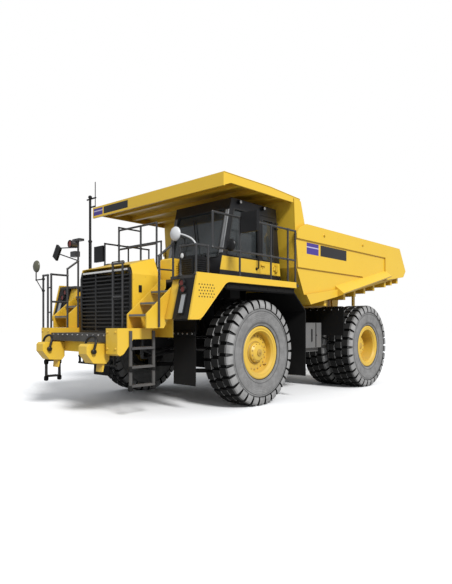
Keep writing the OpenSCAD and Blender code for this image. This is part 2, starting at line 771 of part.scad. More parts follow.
module mast() color(black) on_axles() {
  bar([mast_x, mast_y, 2250], [mast_x, mast_y, 4268], 25);
  bar([mast_x, mast_y, 2250], [mast_x, mast_y, 3350], 32);
  for (z = [2300, 2480]) box([mast_x - 20, mast_y - 25, z], [-hood_half_w, mast_y + 25, z + 40]);
  bar([mast_x - 110, mast_y, 4235], [whip_x + 20, mast_y, 4235], 16);
  bar([mast_x, mast_y, 4060], [whip_x, mast_y, 4060], 16);
  bar([whip_x, mast_y, 4060], [whip_x, mast_y, 4560], 9);
}

// Cab

// the cab's outline in (y, z) up to a height, drawn in by t on each side
module cab_outline(z0, z1, t) polygon([
  [cab_front_y(z0) + t, z0], [cab_rear_y(z0) - t, z0],
  [cab_rear_y(z1) - t, z1], [cab_front_y(z1) + t, z1]
]);

module side_windows() {
  side_profile(cab_in_x - 10, cab_wall + 20) polygon([
    [cab_front_y(belt_z) + 120, belt_z], [cab_rear_y(belt_z) - 120, belt_z],
    [cab_rear_y(window_top) - 120, window_top], [cab_front_y(window_top) + 120, window_top]
  ]);
  side_profile(cab_out_x - cab_wall - 10, cab_wall + 20) polygon([
    [cab_front_y(belt_z) + 120, belt_z], [door_front - 80, belt_z],
    [door_front - 80, window_top], [cab_front_y(window_top) + 120, window_top]
  ]);
}

module front_window()
  box([cab_in_x + 110, cab_low_front - 50, belt_z - 40], [cab_out_x - 110, 0, window_top]);

module rear_window()
  box([cab_in_x + 150, 500, belt_z], [cab_out_x - 150, cab_low_rear + 50, window_top]);

module door_hole() {
  g = door_gap;
  box([cab_out_x - cab_wall - 1, door_front - g, sill_z - g], [cab_out_x + 1, door_rear + g, window_top + g]);
}

module cab_shell() difference() {
  side_profile(cab_in_x, cab_out_x - cab_in_x) cab_outline(deck_z, roof_low, 0);
  side_profile(cab_in_x + cab_wall, cab_out_x - cab_in_x - 2 * cab_wall)
    cab_outline(deck_z + cab_wall, roof_low + 1, cab_wall);
}

module cab_body() color(yellow) on_axles() {
  difference() {
    cab_shell();
    side_windows();
    front_window();
    rear_window();
    door_hole();
  }
  for (z = hinge_zs) {
    translate([hinge_x, hinge_y, z - 70]) cylinder(h = 140, r = 9);
    for (s = [-1, 1]) {
      box([cab_out_x, door_rear + 14, z + s * 57 - 13], [hinge_x + 16, door_rear + 60, z + s * 57 + 13]);
      box([cab_out_x + 7, hinge_y - 16, z + s * 57 - 13], [hinge_x + 16, door_rear + 16, z + s * 57 + 13]);
    }
  }
}

module cab_roof() color(yellow) on_axles()
  side_profile(cab_in_x, cab_out_x - cab_in_x) cab_outline(roof_low, cab_top, 0);

// the middle of the cab's walls, where the panes sit
module pane_shell() difference() {
  side_profile(cab_in_x + 25, cab_out_x - cab_in_x - 50) cab_outline(belt_z - 60, roof_low, 25);
  side_profile(cab_in_x + 35, cab_out_x - cab_in_x - 70) cab_outline(belt_z - 61, roof_low + 1, 35);
}

module cab_glass() color(glass) on_axles() {
  intersection() {
    pane_shell();
    union() {
      side_windows();
      front_window();
      rear_window();
    }
  }
}

module door_window() box(
  [cab_out_x - cab_wall - 1, door_front + 80, belt_z], [cab_out_x + 1, door_rear - 80, window_top - 80]);

module door() color(yellow) on_axles() {
  difference() {
    box([cab_out_x - cab_wall, door_front, sill_z], [cab_out_x, door_rear, window_top]);
    door_window();
  }
  for (z = hinge_zs) difference() {
    union() {
      translate([hinge_x, hinge_y, z - 40]) cylinder(h = 80, r = 18);
      box([cab_out_x, door_rear - 70, z - 40], [hinge_x, door_rear - 5, z + 40]);
    }
    translate([hinge_x, hinge_y, z - 41]) cylinder(h = 82, r = 9 + run_gap / 3);
  }
  box([cab_out_x, door_front + 30, belt_z - 130], [cab_out_x + 30, door_front + 150, belt_z - 95]);
}

module door_glass() color(glass) on_axles() intersection() {
  box([cab_out_x - 35, 0, belt_z - 50], [cab_out_x - 25, 1000, roof_low]);
  door_window();
}

module seat() color(black) on_axles() {
  box([800, 150, deck_z + cab_wall], [1150, 550, deck_z + 400]);
  box([720, 80, deck_z + 400], [1230, 620, deck_z + 520]);
  box([720, 560, deck_z + 520], [1230, 680, deck_z + 1250]);
}

module dash() color(black) on_axles() {
  front = cab_front_y(deck_z + cab_wall) + cab_wall;
  translate([cab_in_x + cab_wall, front + 100, deck_z + cab_wall])
    cube([cab_out_x - cab_in_x - 2 * cab_wall, 230, 480 - cab_wall]);
}

// Tipping body

module body_floor() color(yellow) on_axles() side_profile(-body_half_w, 2 * body_half_w) polygon([
  floor_start, [tail_y - 160, floor_z(tail_y - 160)], [tail_y - 100, floor_z(tail_y - 100) + plate_t],
  floor_start + [-20, plate_t]
]);

wall_line = [[1060, canopy_under(1060)], [1160, ledge_z], [1450, 2260], floor_start];

// the front wall, which leans back to the floor in two folds
module body_front() color(yellow) on_axles() difference() {
  side_profile(-body_half_w, 2 * body_half_w) polygon([
    [1060, canopy_top], wall_line[1], wall_line[2], floor_start + [-20 - seat_gap, plate_t / 2],
    floor_start + [-20 - seat_gap, plate_t * 1.5], wall_line[2] + [plate_t * 0.8, plate_t * 0.6],
    wall_line[1] + [plate_t, 8], [1060 + plate_t, canopy_top]
  ]);
  canopy_seat();
}

// all that lies over the canopy's underside
module canopy_seat() {
  space_over([canopy_bend, canopy_top - plate_t - seat_gap], -canopy_fall);
}

// the rail along the foot of the side wall, with a sloped upper face
module foot_rail() intersection() {
  translate([side_out, foot_start[0], foot_start[1]]) rotate([atan(foot_rise), 0, 0])
    front_profile(-2000, 6000) polygon([[0, -270], [foot_rail_w - 30, -215], [foot_rail_w, -180], [0, 0]]);
  box([side_out, foot_start[0], 2000], [side_out + foot_rail_w + 10, end_panel_y + 60, side_top]);
}

module body_side() {
  ledge_end = foot_start[0] + (ledge_z - foot_start[1]) / foot_rise;
  lap = 60;
  rail_low_z = side_top - side_rail_h;
  difference() {
    side_profile(body_half_w, plate_t) polygon([
      [1060, canopy_top], wall_line[1], wall_line[2], floor_start, [tail_y - 160, floor_z(tail_y - 160)],
      [tail_y, 3180], [tail_y - 420, side_top], [1480, side_top], [1290, canopy_top]
    ]);
    canopy_seat();
  }
  side_profile(side_out, side_rail_w) polygon([
    [1080, rail_low_z], [end_panel_y, rail_low_z], [end_panel_y, foot_z(end_panel_y) - 290],
    [tail_y - 160, floor_z(tail_y - 160)], [tail_y, 3180], [tail_y - 420, side_top], [1450, side_top],
    [1180, side_top - 110], [1080, side_top - 240]
  ]);
  side_profile(side_out, side_rail_w / 2) polygon([
    [1090, rail_low_z - 10], wall_line[1] + [10, 0], [ledge_end - lap, ledge_z], [ledge_end, ledge_z - lap],
    [end_panel_y + 10, foot_z(end_panel_y) - lap], [end_panel_y + 10, rail_low_z + 10],
    [1090, rail_low_z + 10]
  ]);
  side_profile(side_out, side_rail_w * 0.9) polygon([
    wall_line[2], floor_start, [foot_start[0] - 10, floor_z(foot_start[0] - 10)],
    [foot_start[0] + lap, floor_z(foot_start[0]) + lap], foot_start + [lap, -80]
  ]);
  foot_rail();
  for (y = [2172, 4047]) pin_x(side_out, side_out + side_rail_w + 30, y, side_top - 155, 28);
}

module body_side_left() color(yellow) on_axles() body_side();
module body_side_right() color(yellow) on_axles() mirror([1, 0, 0]) body_side();

// the canopy over the cab, with a lip in front, skirts at its sides and beams under it
module body_canopy() color(yellow) on_axles() {
  skirt_low = canopy_top - 170;
  side_profile(-side_out, 2 * side_out) polygon([
    [-canopy_front, canopy_top - plate_t], [canopy_bend, canopy_top - plate_t], [1290, canopy_under(1290)],
    [1290, canopy_under(1290) + plate_t], [canopy_bend, canopy_top], [-canopy_front, canopy_top]
  ]);
  box([-side_out, -canopy_front, canopy_top - canopy_lip], [side_out, -canopy_front + plate_t, canopy_top]);
  both_sides() side_profile(side_out - plate_t, plate_t) polygon([
    [-canopy_front, canopy_top - canopy_lip], [-canopy_front + 200, skirt_low], [1040, skirt_low],
    [1040, canopy_under(1040) + 10], [canopy_bend, canopy_top - 10], [-canopy_front, canopy_top - 10]
  ]);
  for (y = [-600, 0, 600])
    box([-side_out + 1, y - 50, canopy_top - 140], [side_out - 1, y + 50, canopy_under(y) + 5]);
}

// ribs across the underside, between and outside the beams
rib_places = concat(
  [upper_pin[0] - 550],
  [for (i = [0 : 3]) upper_pin[0] + 350 + i * (hoist_reach - 700) / 3],
  [for (i = [0 : 2]) pivot_y + 350 + i * (tail_y - pivot_y - 700) / 2]
);

module rib_stretch(x0, x1, y) difference() {
  box([x0, y - 50, floor_z(y) - rib_h - 20], [x1, y + 50, floor_z(y) + 100]);
  space_over(floor_start - [0, seat_gap], floor_rise);
}

module body_ribs() color(yellow) on_axles() {
  for (y = rib_places) {
    rib_stretch(-rail_x + run_gap, rail_x - run_gap, y);
    both_sides() rib_stretch(rail_out + run_gap, body_half_w, y);
  }
  both_sides() difference() {
    box([rear_wheel_x - 18, wheelbase + 380, axle_z + 830], [rear_wheel_x + 18, wheelbase + 500, 3200]);
    space_over(floor_start - [0, seat_gap], floor_rise);
  }
}

// a hanger plate from the floor down to a pin
module hanger(x, t, pin, r) {
  side_profile(x, t) polygon([
    [pin[0] - 2 * r, pin[1] + 8 * r], [pin[0] - r, pin[1]], [pin[0] + r, pin[1]],
    [pin[0] + 2 * r, pin[1] + 8 * r]
  ]);
  pin_x(x, x + t, pin[0], pin[1], r);
}

// the two beams along the floor, and the hangers of the pivots and hoists
module body_beams() color(yellow) on_axles() both_sides() {
  difference() {
    union() {
      box([rail_x, floor_start[0] + 320, rail_top + move_gap], [rail_out, pivot_y - 290, 3200]);
      for (x = [rail_x - 70, rail_out + 20]) hanger(x, 50, [pivot_y, pivot_z], pivot_boss_r);
      for (x = [hoist_x - 125, hoist_x + 105]) hanger(x, 20, upper_pin, 70);
    }
    space_over(floor_start - [0, seat_gap], floor_rise);
  }
  pin_x(rail_x - 70, rail_out + 70, pivot_y, pivot_z, pivot_pin_r);
  pin_x(hoist_x - 125, hoist_x + 125, upper_pin[0], upper_pin[1], hoist_pin_r);
}

// Hoist

// draws along the cylinder's axis, from the lower pin upwards
module on_hoist() both_sides()
  translate([hoist_x, lower_pin[0], lower_pin[1]]) rotate([hoist_lean, 0, 0]) children();

module hoist_barrels() color(black) on_axles() on_hoist() difference() {
  union() {
    translate([0, 0, 60]) cylinder(h = hoist_len - 300, r = barrel_r);
    rotate([0, 90, 0]) translate([0, 0, -90]) cylinder(h = 180, r = 85);
  }
  translate([0, 0, 120]) cylinder(h = hoist_len, r = stage_r + run_gap);
  rotate([0, 90, 0]) translate([0, 0, -100]) cylinder(h = 200, r = 45 + run_gap);
}

module hoist_stages() color(steel) on_axles() on_hoist() difference() {
  translate([0, 0, 140]) cylinder(h = hoist_len - 320, r = stage_r);
  translate([0, 0, 150]) cylinder(h = hoist_len, r = rod_r + run_gap);
}

module hoist_rods() color(steel) on_axles() on_hoist() difference() {
  union() {
    translate([0, 0, 165]) cylinder(h = hoist_len - 165 - 60, r = rod_r);
    for (s = [-1, 1]) translate([0, 0, hoist_len + s * eye_play]) rotate([0, 90, 0])
      translate([0, 0, -75]) cylinder(h = 150, r = hoist_pin_r + 35);
    translate([-75, -hoist_pin_r - 35, hoist_len - eye_play]) cube([150, 2 * hoist_pin_r + 70, 2 * eye_play]);
  }
  for (s = [-1, 1]) translate([0, 0, hoist_len + s * eye_play]) rotate([0, 90, 0])
    translate([0, 0, -100]) cylinder(h = 200, r = hoist_pin_r + run_gap);
  translate([-100, -hoist_pin_r - run_gap, hoist_len - eye_play])
    cube([200, 2 * (hoist_pin_r + run_gap), 2 * eye_play]);
}

frame();
bumper();
bumper_platform();
tow_hooks();
front_ladders();
stairs();
deck();
hood();
cowl_box();
grille();
radiator();
engine();
driveline();
fender_left();
fender_right();
lamp_panels();
headlamps();
handrails_left();
handrails_right();
handrails_front();
cab_body();
cab_roof();
cab_glass();
seat();
dash();
door();
door_glass();
mirrors_left();
mirrors_right();
mast();
air_cleaner();
mudguards();
fuel_tank();
hydraulic_tank();
front_suspension();
rear_axle();
rear_suspension();
knuckle_left();
knuckle_right();
tie_rod();
tyre_front_left();
tyre_front_right();
rim_front_left();
rim_front_right();
tyres_rear_left();
tyres_rear_right();
rims_rear_left();
rims_rear_right();
body_floor();
body_front();
body_side_left();
body_side_right();
body_canopy();
body_ribs();
body_beams();
hoist_barrels();
hoist_stages();
hoist_rods();
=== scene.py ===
import math

import bmesh
import bpy
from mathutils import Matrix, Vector, noise


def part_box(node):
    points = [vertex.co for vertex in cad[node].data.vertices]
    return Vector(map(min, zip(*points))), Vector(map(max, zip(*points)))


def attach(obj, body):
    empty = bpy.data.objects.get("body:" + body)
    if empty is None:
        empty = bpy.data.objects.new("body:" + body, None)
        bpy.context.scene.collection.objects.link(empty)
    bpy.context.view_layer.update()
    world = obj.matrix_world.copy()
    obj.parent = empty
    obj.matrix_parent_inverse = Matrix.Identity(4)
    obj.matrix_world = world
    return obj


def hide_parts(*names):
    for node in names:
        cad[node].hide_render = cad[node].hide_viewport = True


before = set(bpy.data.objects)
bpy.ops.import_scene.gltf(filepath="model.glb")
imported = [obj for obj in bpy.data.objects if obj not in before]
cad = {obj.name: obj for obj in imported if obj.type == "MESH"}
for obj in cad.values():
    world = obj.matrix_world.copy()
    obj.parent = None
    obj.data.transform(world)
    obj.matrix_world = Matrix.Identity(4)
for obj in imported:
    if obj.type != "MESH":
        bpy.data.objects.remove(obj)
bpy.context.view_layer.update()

# Frame. Two welded steel rails with cross tubes carry the whole truck, sprayed satin black and grey
# with dust low down. Pairs of steel brake pipes run along the rails in bolted clips.
axle_y = sum(corner[1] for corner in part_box("tyre_front_left")) / 2


def at(x, y, z):
    """A point measured from the ground under the front axle's middle."""
    return Vector((x, axle_y + y, z))


class Value:
    """What a socket in a shader tree gives. Arithmetic with it adds a node for each step."""

    def __init__(self, tree, socket):
        self.tree = tree
        self.socket = socket

    def clamped(self):
        """Keeps the result of the last step from 0 to 1."""
        self.socket.node.use_clamp = True
        return self

    def __add__(self, other):
        return step(self.tree, "ADD", self, other)

    def __sub__(self, other):
        return step(self.tree, "SUBTRACT", self, other)

    def __rsub__(self, other):
        return step(self.tree, "SUBTRACT", other, self)

    def __mul__(self, other):
        return step(self.tree, "MULTIPLY", self, other)

    def __truediv__(self, other):
        return step(self.tree, "DIVIDE", self, other)

    def __pow__(self, other):
        return step(self.tree, "POWER", self, other)

    def __lt__(self, other):
        return step(self.tree, "LESS_THAN", self, other)

    def __gt__(self, other):
        return step(self.tree, "GREATER_THAN", self, other)


def join(tree, value, socket):
    """Feeds a socket with a value, another socket, a colour or a number."""
    if isinstance(value, tuple):
        socket.default_value = (*value, 1)
    elif isinstance(value, (int, float)):
        socket.default_value = value
    else:
        tree.links.new(value.socket if isinstance(value, Value) else value, socket)


def step(tree, work, *numbers):
    """One step of arithmetic."""
    node = tree.nodes.new("ShaderNodeMath")
    node.operation = work
    for number, socket in zip(numbers, node.inputs):
        join(tree, number, socket)
    return Value(tree, node.outputs[0])


def blended(tree, amount, under, over):
    """Colour under, covered by colour over as far as amount says."""
    mix = tree.nodes.new("ShaderNodeMix")
    mix.data_type = "RGBA"
    for index, value in ((0, amount), (6, under), (7, over)):
        join(tree, value, mix.inputs[index])
    return mix.outputs[2]


def place_axes(tree, kind="Object"):
    """x, y and z of the point on the piece, or of its normal."""
    place = tree.nodes.new("ShaderNodeTexCoord")
    axes = tree.nodes.new("ShaderNodeSeparateXYZ")
    tree.links.new(place.outputs[kind], axes.inputs[0])
    return {axis: Value(tree, axes.outputs[axis]) for axis in "XYZ"}


def blotches(tree, scale, detail=5.0):
    """Soft cloudy spots from 0 to 1, fixed to the piece."""
    place = tree.nodes.new("ShaderNodeTexCoord")
    cloud = tree.nodes.new("ShaderNodeTexNoise")
    cloud.inputs["Scale"].default_value = scale
    cloud.inputs["Detail"].default_value = detail
    cloud.inputs["Roughness"].default_value = 0.62
    tree.links.new(place.outputs["Object"], cloud.inputs["Vector"])
    return Value(tree, cloud.outputs[0])


def bumped(tree, height, distance, strength, normal=None):
    """A normal that is raised where height is more."""
    bump = tree.nodes.new("ShaderNodeBump")
    bump.inputs["Distance"].default_value = distance
    join(tree, strength, bump.inputs["Strength"])
    join(tree, height, bump.inputs["Height"])
    if normal:
        join(tree, normal, bump.inputs["Normal"])
    return bump.outputs[0]


def effect(name, inputs, outputs):
    """An empty shader group, with its number inputs as values and its output sockets."""
    group = bpy.data.node_groups.new(name, "ShaderNodeTree")
    for title, value in inputs.items():
        socket = group.interface.new_socket(title, in_out="INPUT", socket_type="NodeSocketFloat")
        socket.default_value = value
    for title, kind in outputs.items():
        group.interface.new_socket(title, in_out="OUTPUT", socket_type=kind)
    sockets = group.nodes.new("NodeGroupInput").outputs
    given = {title: Value(group, sockets[title]) for title in inputs}
    return group, given, group.nodes.new("NodeGroupOutput").inputs


# dust lies thickest near the ground and on faces that look up
dust_fall, given, result = effect(
    "dust_fall", {"Ground": 0.0, "Height": 2.6, "Amount": 0.4}, {"Mask": "NodeSocketFloat"})
over_ground = place_axes(dust_fall)["Z"] - given["Ground"]
low_down = (1.0 - over_ground / given["Height"]).clamped() ** 1.5
facing_up = (place_axes(dust_fall, "Normal")["Z"] * 0.4).clamped()
cloudy = ((blotches(dust_fall, 2.4) - 0.28) * 2.0).clamped()
settled = (low_down + facing_up).clamped() * cloudy
join(dust_fall, (settled * given["Amount"]).clamped(), result["Mask"])

# sprayed paint: slow changes of tone, small chips, bare edges, painted shade deepening the corners, rounding
# and orange peel
paint_skin, given, result = effect(
    "paint_skin", {"Edge": 0.008, "Wear": 0.4, "Peel": 0.15},
    {"Tone": "NodeSocketFloat", "Chips": "NodeSocketFloat", "CornerShade": "NodeSocketFloat",
     "Normal": "NodeSocketVector"})
rounded = paint_skin.nodes.new("ShaderNodeBevel")
rounded.samples = 4
join(paint_skin, given["Edge"], rounded.inputs["Radius"])
surface = paint_skin.nodes.new("ShaderNodeNewGeometry")
turned_by = paint_skin.nodes.new("ShaderNodeVectorMath")
turned_by.operation = "DOT_PRODUCT"
join(paint_skin, rounded.outputs[0], turned_by.inputs[0])
join(paint_skin, surface.outputs["True Normal"], turned_by.inputs[1])
flatness = Value(paint_skin, turned_by.outputs["Value"])
on_edge = ((0.96 - flatness).clamped() * 5.0).clamped() * (blotches(paint_skin, 9.0) > 0.54)
specks = blotches(paint_skin, 26.0, 2.0) > 0.725
join(paint_skin, ((on_edge + specks).clamped() * given["Wear"]).clamped(), result["Chips"])
join(paint_skin, blotches(paint_skin, 1.1), result["Tone"])
# ambient occlusion marks shut-in corners, where coat blends in a deeper colour as painted shade
open_air = paint_skin.nodes.new("ShaderNodeAmbientOcclusion")
open_air.samples = 6
open_air.inputs["Distance"].default_value = 0.5
join(paint_skin, ((0.85 - Value(paint_skin, open_air.outputs["AO"])) * 1.5).clamped(), result["CornerShade"])
peel = bumped(paint_skin, blotches(paint_skin, 90.0, 2.0), 0.002, given["Peel"], rounded.outputs[0])
join(paint_skin, peel, result["Normal"])


def new_finish(name):
    """A new material, with its node tree and the inputs of its shader."""
    finish = bpy.data.materials.new(name)
    finish.use_nodes = True
    tree = finish.node_tree
    return finish, tree, tree.nodes["Principled BSDF"].inputs


def at_work(tree, group, **settings):
    """What a shader group gives in a tree with these settings."""
    node = tree.nodes.new("ShaderNodeGroup")
    node.node_tree = group
    for title, value in settings.items():
        node.inputs[title].default_value = value
    return {output.name: Value(tree, output) for output in node.outputs}


def coat(name, colour, faded, rough, dust=0.4, ground=0.0, wear=0.4, edge=0.008, chip=(0.06, 0.05, 0.04),
         dust_colour=(0.34, 0.29, 0.23), height=2.6, metal=0.0, shine=0.5, corner_shade=None):
    """A painted or bare finish. colour and faded are each one colour, or a function that draws it."""
    finish, tree, shader = new_finish(name)
    skin = at_work(tree, paint_skin, Edge=edge, Wear=wear)
    fall = at_work(tree, dust_fall, Ground=ground, Height=height, Amount=dust)
    fresh, old = [shade(tree) if callable(shade) else shade for shade in (colour, faded)]
    base = blended(tree, skin["Tone"] * 0.6, fresh, old)
    # a deeper colour blended into shut-in corners: painted shade
    if corner_shade:
        base = blended(tree, skin["CornerShade"] * 0.6, base, corner_shade)
    base = blended(tree, skin["Chips"], base, chip)
    base = blended(tree, fall["Mask"], base, dust_colour)
    join(tree, base, shader["Base Color"])
    dulled = skin["Tone"] * 0.12 + rough
    join(tree, (dulled + fall["Mask"] * 0.4).clamped(), shader["Roughness"])
    join(tree, skin["Normal"], shader["Normal"])
    shader["Metallic"].default_value = metal
    shader["Specular IOR Level"].default_value = shine
    return finish


def paint(finish, *names):
    """Gives a finish to pieces of the model."""
    for name in names:
        cad[name].data.materials.clear()
        cad[name].data.materials.append(finish)


def slab(bm, one, other, bevel=0.004):
    """A block between two opposite corners, with its edges broken."""
    low, high = [[pick(pair) for pair in zip(one, other)] for pick in (min, max)]
    corners = bmesh.ops.create_cube(bm, size=1.0)["verts"]
    for corner in corners:
        corner.co = Vector([low[i] + (corner.co[i] + 0.5) * (high[i] - low[i]) for i in range(3)])
    edges = list({edge for corner in corners for edge in corner.link_edges})
    bmesh.ops.bevel(bm, geom=edges, offset=bevel, segments=2, affect="EDGES")


def hoop(middle, one, other, radius, count, turn=0.0):
    """Even places on a circle that lies along two directions square to each other."""
    turns = [2 * math.pi * (k + turn) / count for k in range(count)]
    return [middle + (one * math.cos(a) + other * math.sin(a)) * radius for a in turns]


def tube(bm, points, radius, bend=0.0, closed=False, steps=10):
    """A pipe along points, with round bends of about that size at the corners."""
    points = [Vector(point) for point in points]
    count = len(points)
    path = []
    for i, point in enumerate(points):
        if bend and (closed or 0 < i < count - 1):
            before, after = points[i - 1], points[(i + 1) % count]
            near = point + (before - point).normalized() * min(bend, (before - point).length * 0.45)
            away = point + (after - point).normalized() * min(bend, (after - point).length * 0.45)
            for k in range(6):
                t = k / 5
                path.append(near * (1 - t) ** 2 + point * 2 * t * (1 - t) + away * t * t)
        else:
            path.append(point)
    rings = []
    side = None
    for i, point in enumerate(path):
        before = path[i - 1] if closed or i else point
        after = path[(i + 1) % len(path)] if closed or i < len(path) - 1 else point
        along = (after - before).normalized()
        side = along.orthogonal() if side is None else side - along * side.dot(along)
        side.normalize()
        rings.append([bm.verts.new(spot) for spot in hoop(point, side, along.cross(side), radius, steps)])
    if closed:
        rings.append(rings[0])
    for near, far in zip(rings, rings[1:]):
        for k in range(steps):
            bm.faces.new([near[k], near[k - 1], far[k - 1], far[k]])
    if not closed:
        bm.faces.new(rings[0])
        bm.faces.new(reversed(rings[-1]))


def fit(name, bm, finish, body="chassis", sharp=35):
    """Makes one piece of what was drawn, in its finish, fixed to a body."""
    bmesh.ops.recalc_face_normals(bm, faces=bm.faces)
    mesh = bpy.data.meshes.new(name)
    bm.to_mesh(mesh)
    bm.free()
    mesh.materials.append(finish)
    mesh.shade_smooth()
    mesh.set_sharp_from_angle(angle=math.radians(sharp))
    piece = bpy.data.objects.new(name, mesh)
    bpy.context.collection.objects.link(piece)
    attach(piece, body)
    return piece


sides = ((1, "left"), (-1, "right"))
black_coat = coat("black_coat", (0.006, 0.006, 0.0065), (0.014, 0.014, 0.0145), 0.36, dust=0.2, wear=0.25,
                  chip=(0.1, 0.095, 0.09), dust_colour=(0.08, 0.075, 0.07), shine=0.35)
paint(black_coat, "frame")
bare_steel = coat("bare_steel", (0.42, 0.42, 0.43), (0.26, 0.25, 0.24), 0.3, dust=0.3, wear=0.3,
                  chip=(0.2, 0.11, 0.06), metal=0.9)
for side, hand in sides:
    bm = bmesh.new()
    pipe_x = side * 0.632
    for front_z, rear_z in ((1.36, 1.8), (1.32, 1.76)):
        tube(bm, [at(pipe_x, -1.2, front_z), at(pipe_x, 0.82, front_z), at(pipe_x, 1.42, rear_z),
                  at(pipe_x, 3.9, rear_z)], 0.009, bend=0.1)
    for y, z in ((-0.9, 1.34), (0.4, 1.34), (1.7, 1.78), (2.5, 1.78), (3.3, 1.78)):
        slab(bm, at(side * 0.621, y - 0.015, z - 0.05), at(side * 0.648, y + 0.015, z + 0.05), 0.003)
    fit("brake_pipes_" + hand, bm, bare_steel)

# Engine, gearbox and radiator. A cast engine block and a gearbox sit low between the rails behind
# the radiator's finned core; flanged shafts with bolted joints run back to the axle.
cast_iron = coat("cast_iron", (0.1, 0.1, 0.1), (0.16, 0.14, 0.12), 0.55, dust=0.6, wear=0.3)
paint(cast_iron, "engine", "driveline")


def wave(value, spacing):
    """Even waves from -1 to 1 along a value."""
    return step(value.tree, "SINE", value * (2 * math.pi / spacing))


def fins(tree):
    """Dark upright fins, 12 mm apart."""
    stripe = wave(place_axes(tree)["X"], 0.012) * 0.5 + 0.5
    return blended(tree, stripe, (0.012, 0.012, 0.013), (0.05, 0.05, 0.052))


paint(coat("radiator_core", fins, (0.03, 0.028, 0.025), 0.5, dust=0.5), "radiator")


def turned(bm, start, along, outline, steps=24):
    """A turned piece about the line from start; its outline is a row of (radius, distance along)."""
    along = Vector(along).normalized()
    side = along.orthogonal().normalized()
    rings = []
    for radius, distance in outline:
        spots = hoop(start + along * distance, side, along.cross(side), radius, steps if radius else 1)
        rings.append([bm.verts.new(spot) for spot in spots])
    for near, far in zip(rings, rings[1:]):
        for k in range(steps):
            corners = [near[k % len(near)], near[(k + 1) % steps % len(near)],
                       far[(k + 1) % steps % len(far)], far[k % len(far)]]
            corners = list(dict.fromkeys(corners))
            if len(corners) > 2:
                bm.faces.new(corners)


def bolts(bm, places, along, size):
    """Hexagon heads on washers at these places; size is half a head's width."""
    washer = [(size * 1.5, -0.003), (size * 1.5, size * 0.2), (size * 1.3, size * 0.3), (0, size * 0.3)]
    head = [(size, size * 0.2), (size, size * 0.9), (size * 0.75, size * 1.1), (0, size * 1.1)]
    for place in places:
        turned(bm, place, along, washer, 14)
        turned(bm, place, along, head, 6)


def circle(middle, axis, radius, count, turn=0.0):
    """Even places on a circle about an axis: "x", "y" or "z"."""
    ways = {"x": Vector((1, 0, 0)), "y": Vector((0, 1, 0)), "z": Vector((0, 0, 1))}
    del ways[axis]
    return hoop(middle, *ways.values(), radius, count, turn)


def row(bm, count, move, one, other, bevel):
    """Equal blocks, each one move on from the last."""
    for k in range(count):
        slab(bm, one + Vector(move) * k, other + Vector(move) * k, bevel)


bm = bmesh.new()
for y, way in ((0.78, 1), (3.8, -1)):
    bolts(bm, circle(at(0, y, 1.12), "y", 0.08, 8), (0, way, 0), 0.011)
row(bm, 6, (0, 0.15, 0), at(-0.3, -0.2, 1.75), at(0.3, -0.17, 1.768), 0.006)
fit("driveline_bolts_and_ribs", bm, cast_iron)

# Axles and suspension. Struts with ribbed rubber boots stand on the front knuckles; the rear axle's
# cast housing has a bolted cover. Everything is black and dusty.
wheelbase = 4.3
hub_z = 1.05
underside = coat("underside", (0.005, 0.005, 0.0055), (0.012, 0.0115, 0.011), 0.5, dust=0.35, wear=0.2,
                 chip=(0.06, 0.055, 0.05), dust_colour=(0.06, 0.054, 0.048), shine=0.25)
paint(underside, "front_suspension", "rear_axle", "rear_suspension", "knuckle_left", "knuckle_right")
paint(bare_steel, "tie_rod")
boot_rubber = coat("boot_rubber", (0.006, 0.006, 0.006), (0.014, 0.0135, 0.013), 0.7, dust=0.2, wear=0.0,
                   dust_colour=(0.06, 0.055, 0.05), shine=0.2)
for side, hand in sides:
    bm = bmesh.new()
    folds = []
    for k in range(9):
        folds += [(0.134, 1.66 + k * 0.05), (0.15, 1.685 + k * 0.05)]
    turned(bm, at(side * 1.23, 0, 0), (0, 0, 1), [(0.128, 1.64)] + folds + [(0.128, 2.11)], 32)
    fit("strut_boot_" + hand, bm, boot_rubber, sharp=60)
bm = bmesh.new()
for side, hand in sides:
    bolts(bm, circle(at(side * 0.181, wheelbase, hub_z), "x", 0.33, 16), (side, 0, 0), 0.014)
fit("axle_cover_bolts", bm, underside)

# Rims. Rolled steel rims in golden yellow, with a coned disc and domed hub in front and a deep dish
# behind. Rings of nuts hold them, and a valve stands by the disc's edge.
inner_edge = 1.785
front_hub_x = 1.7575
rear_hub_x = 1.54


def gold_outside(gold):
    """Golden on the outer side of the wheel, black on the inner side as painted shade."""
    def draw(tree):
        inner = step(tree, "ABSOLUTE", place_axes(tree)["X"]) < inner_edge
        return blended(tree, inner, gold, (0.015, 0.014, 0.013))
    return draw


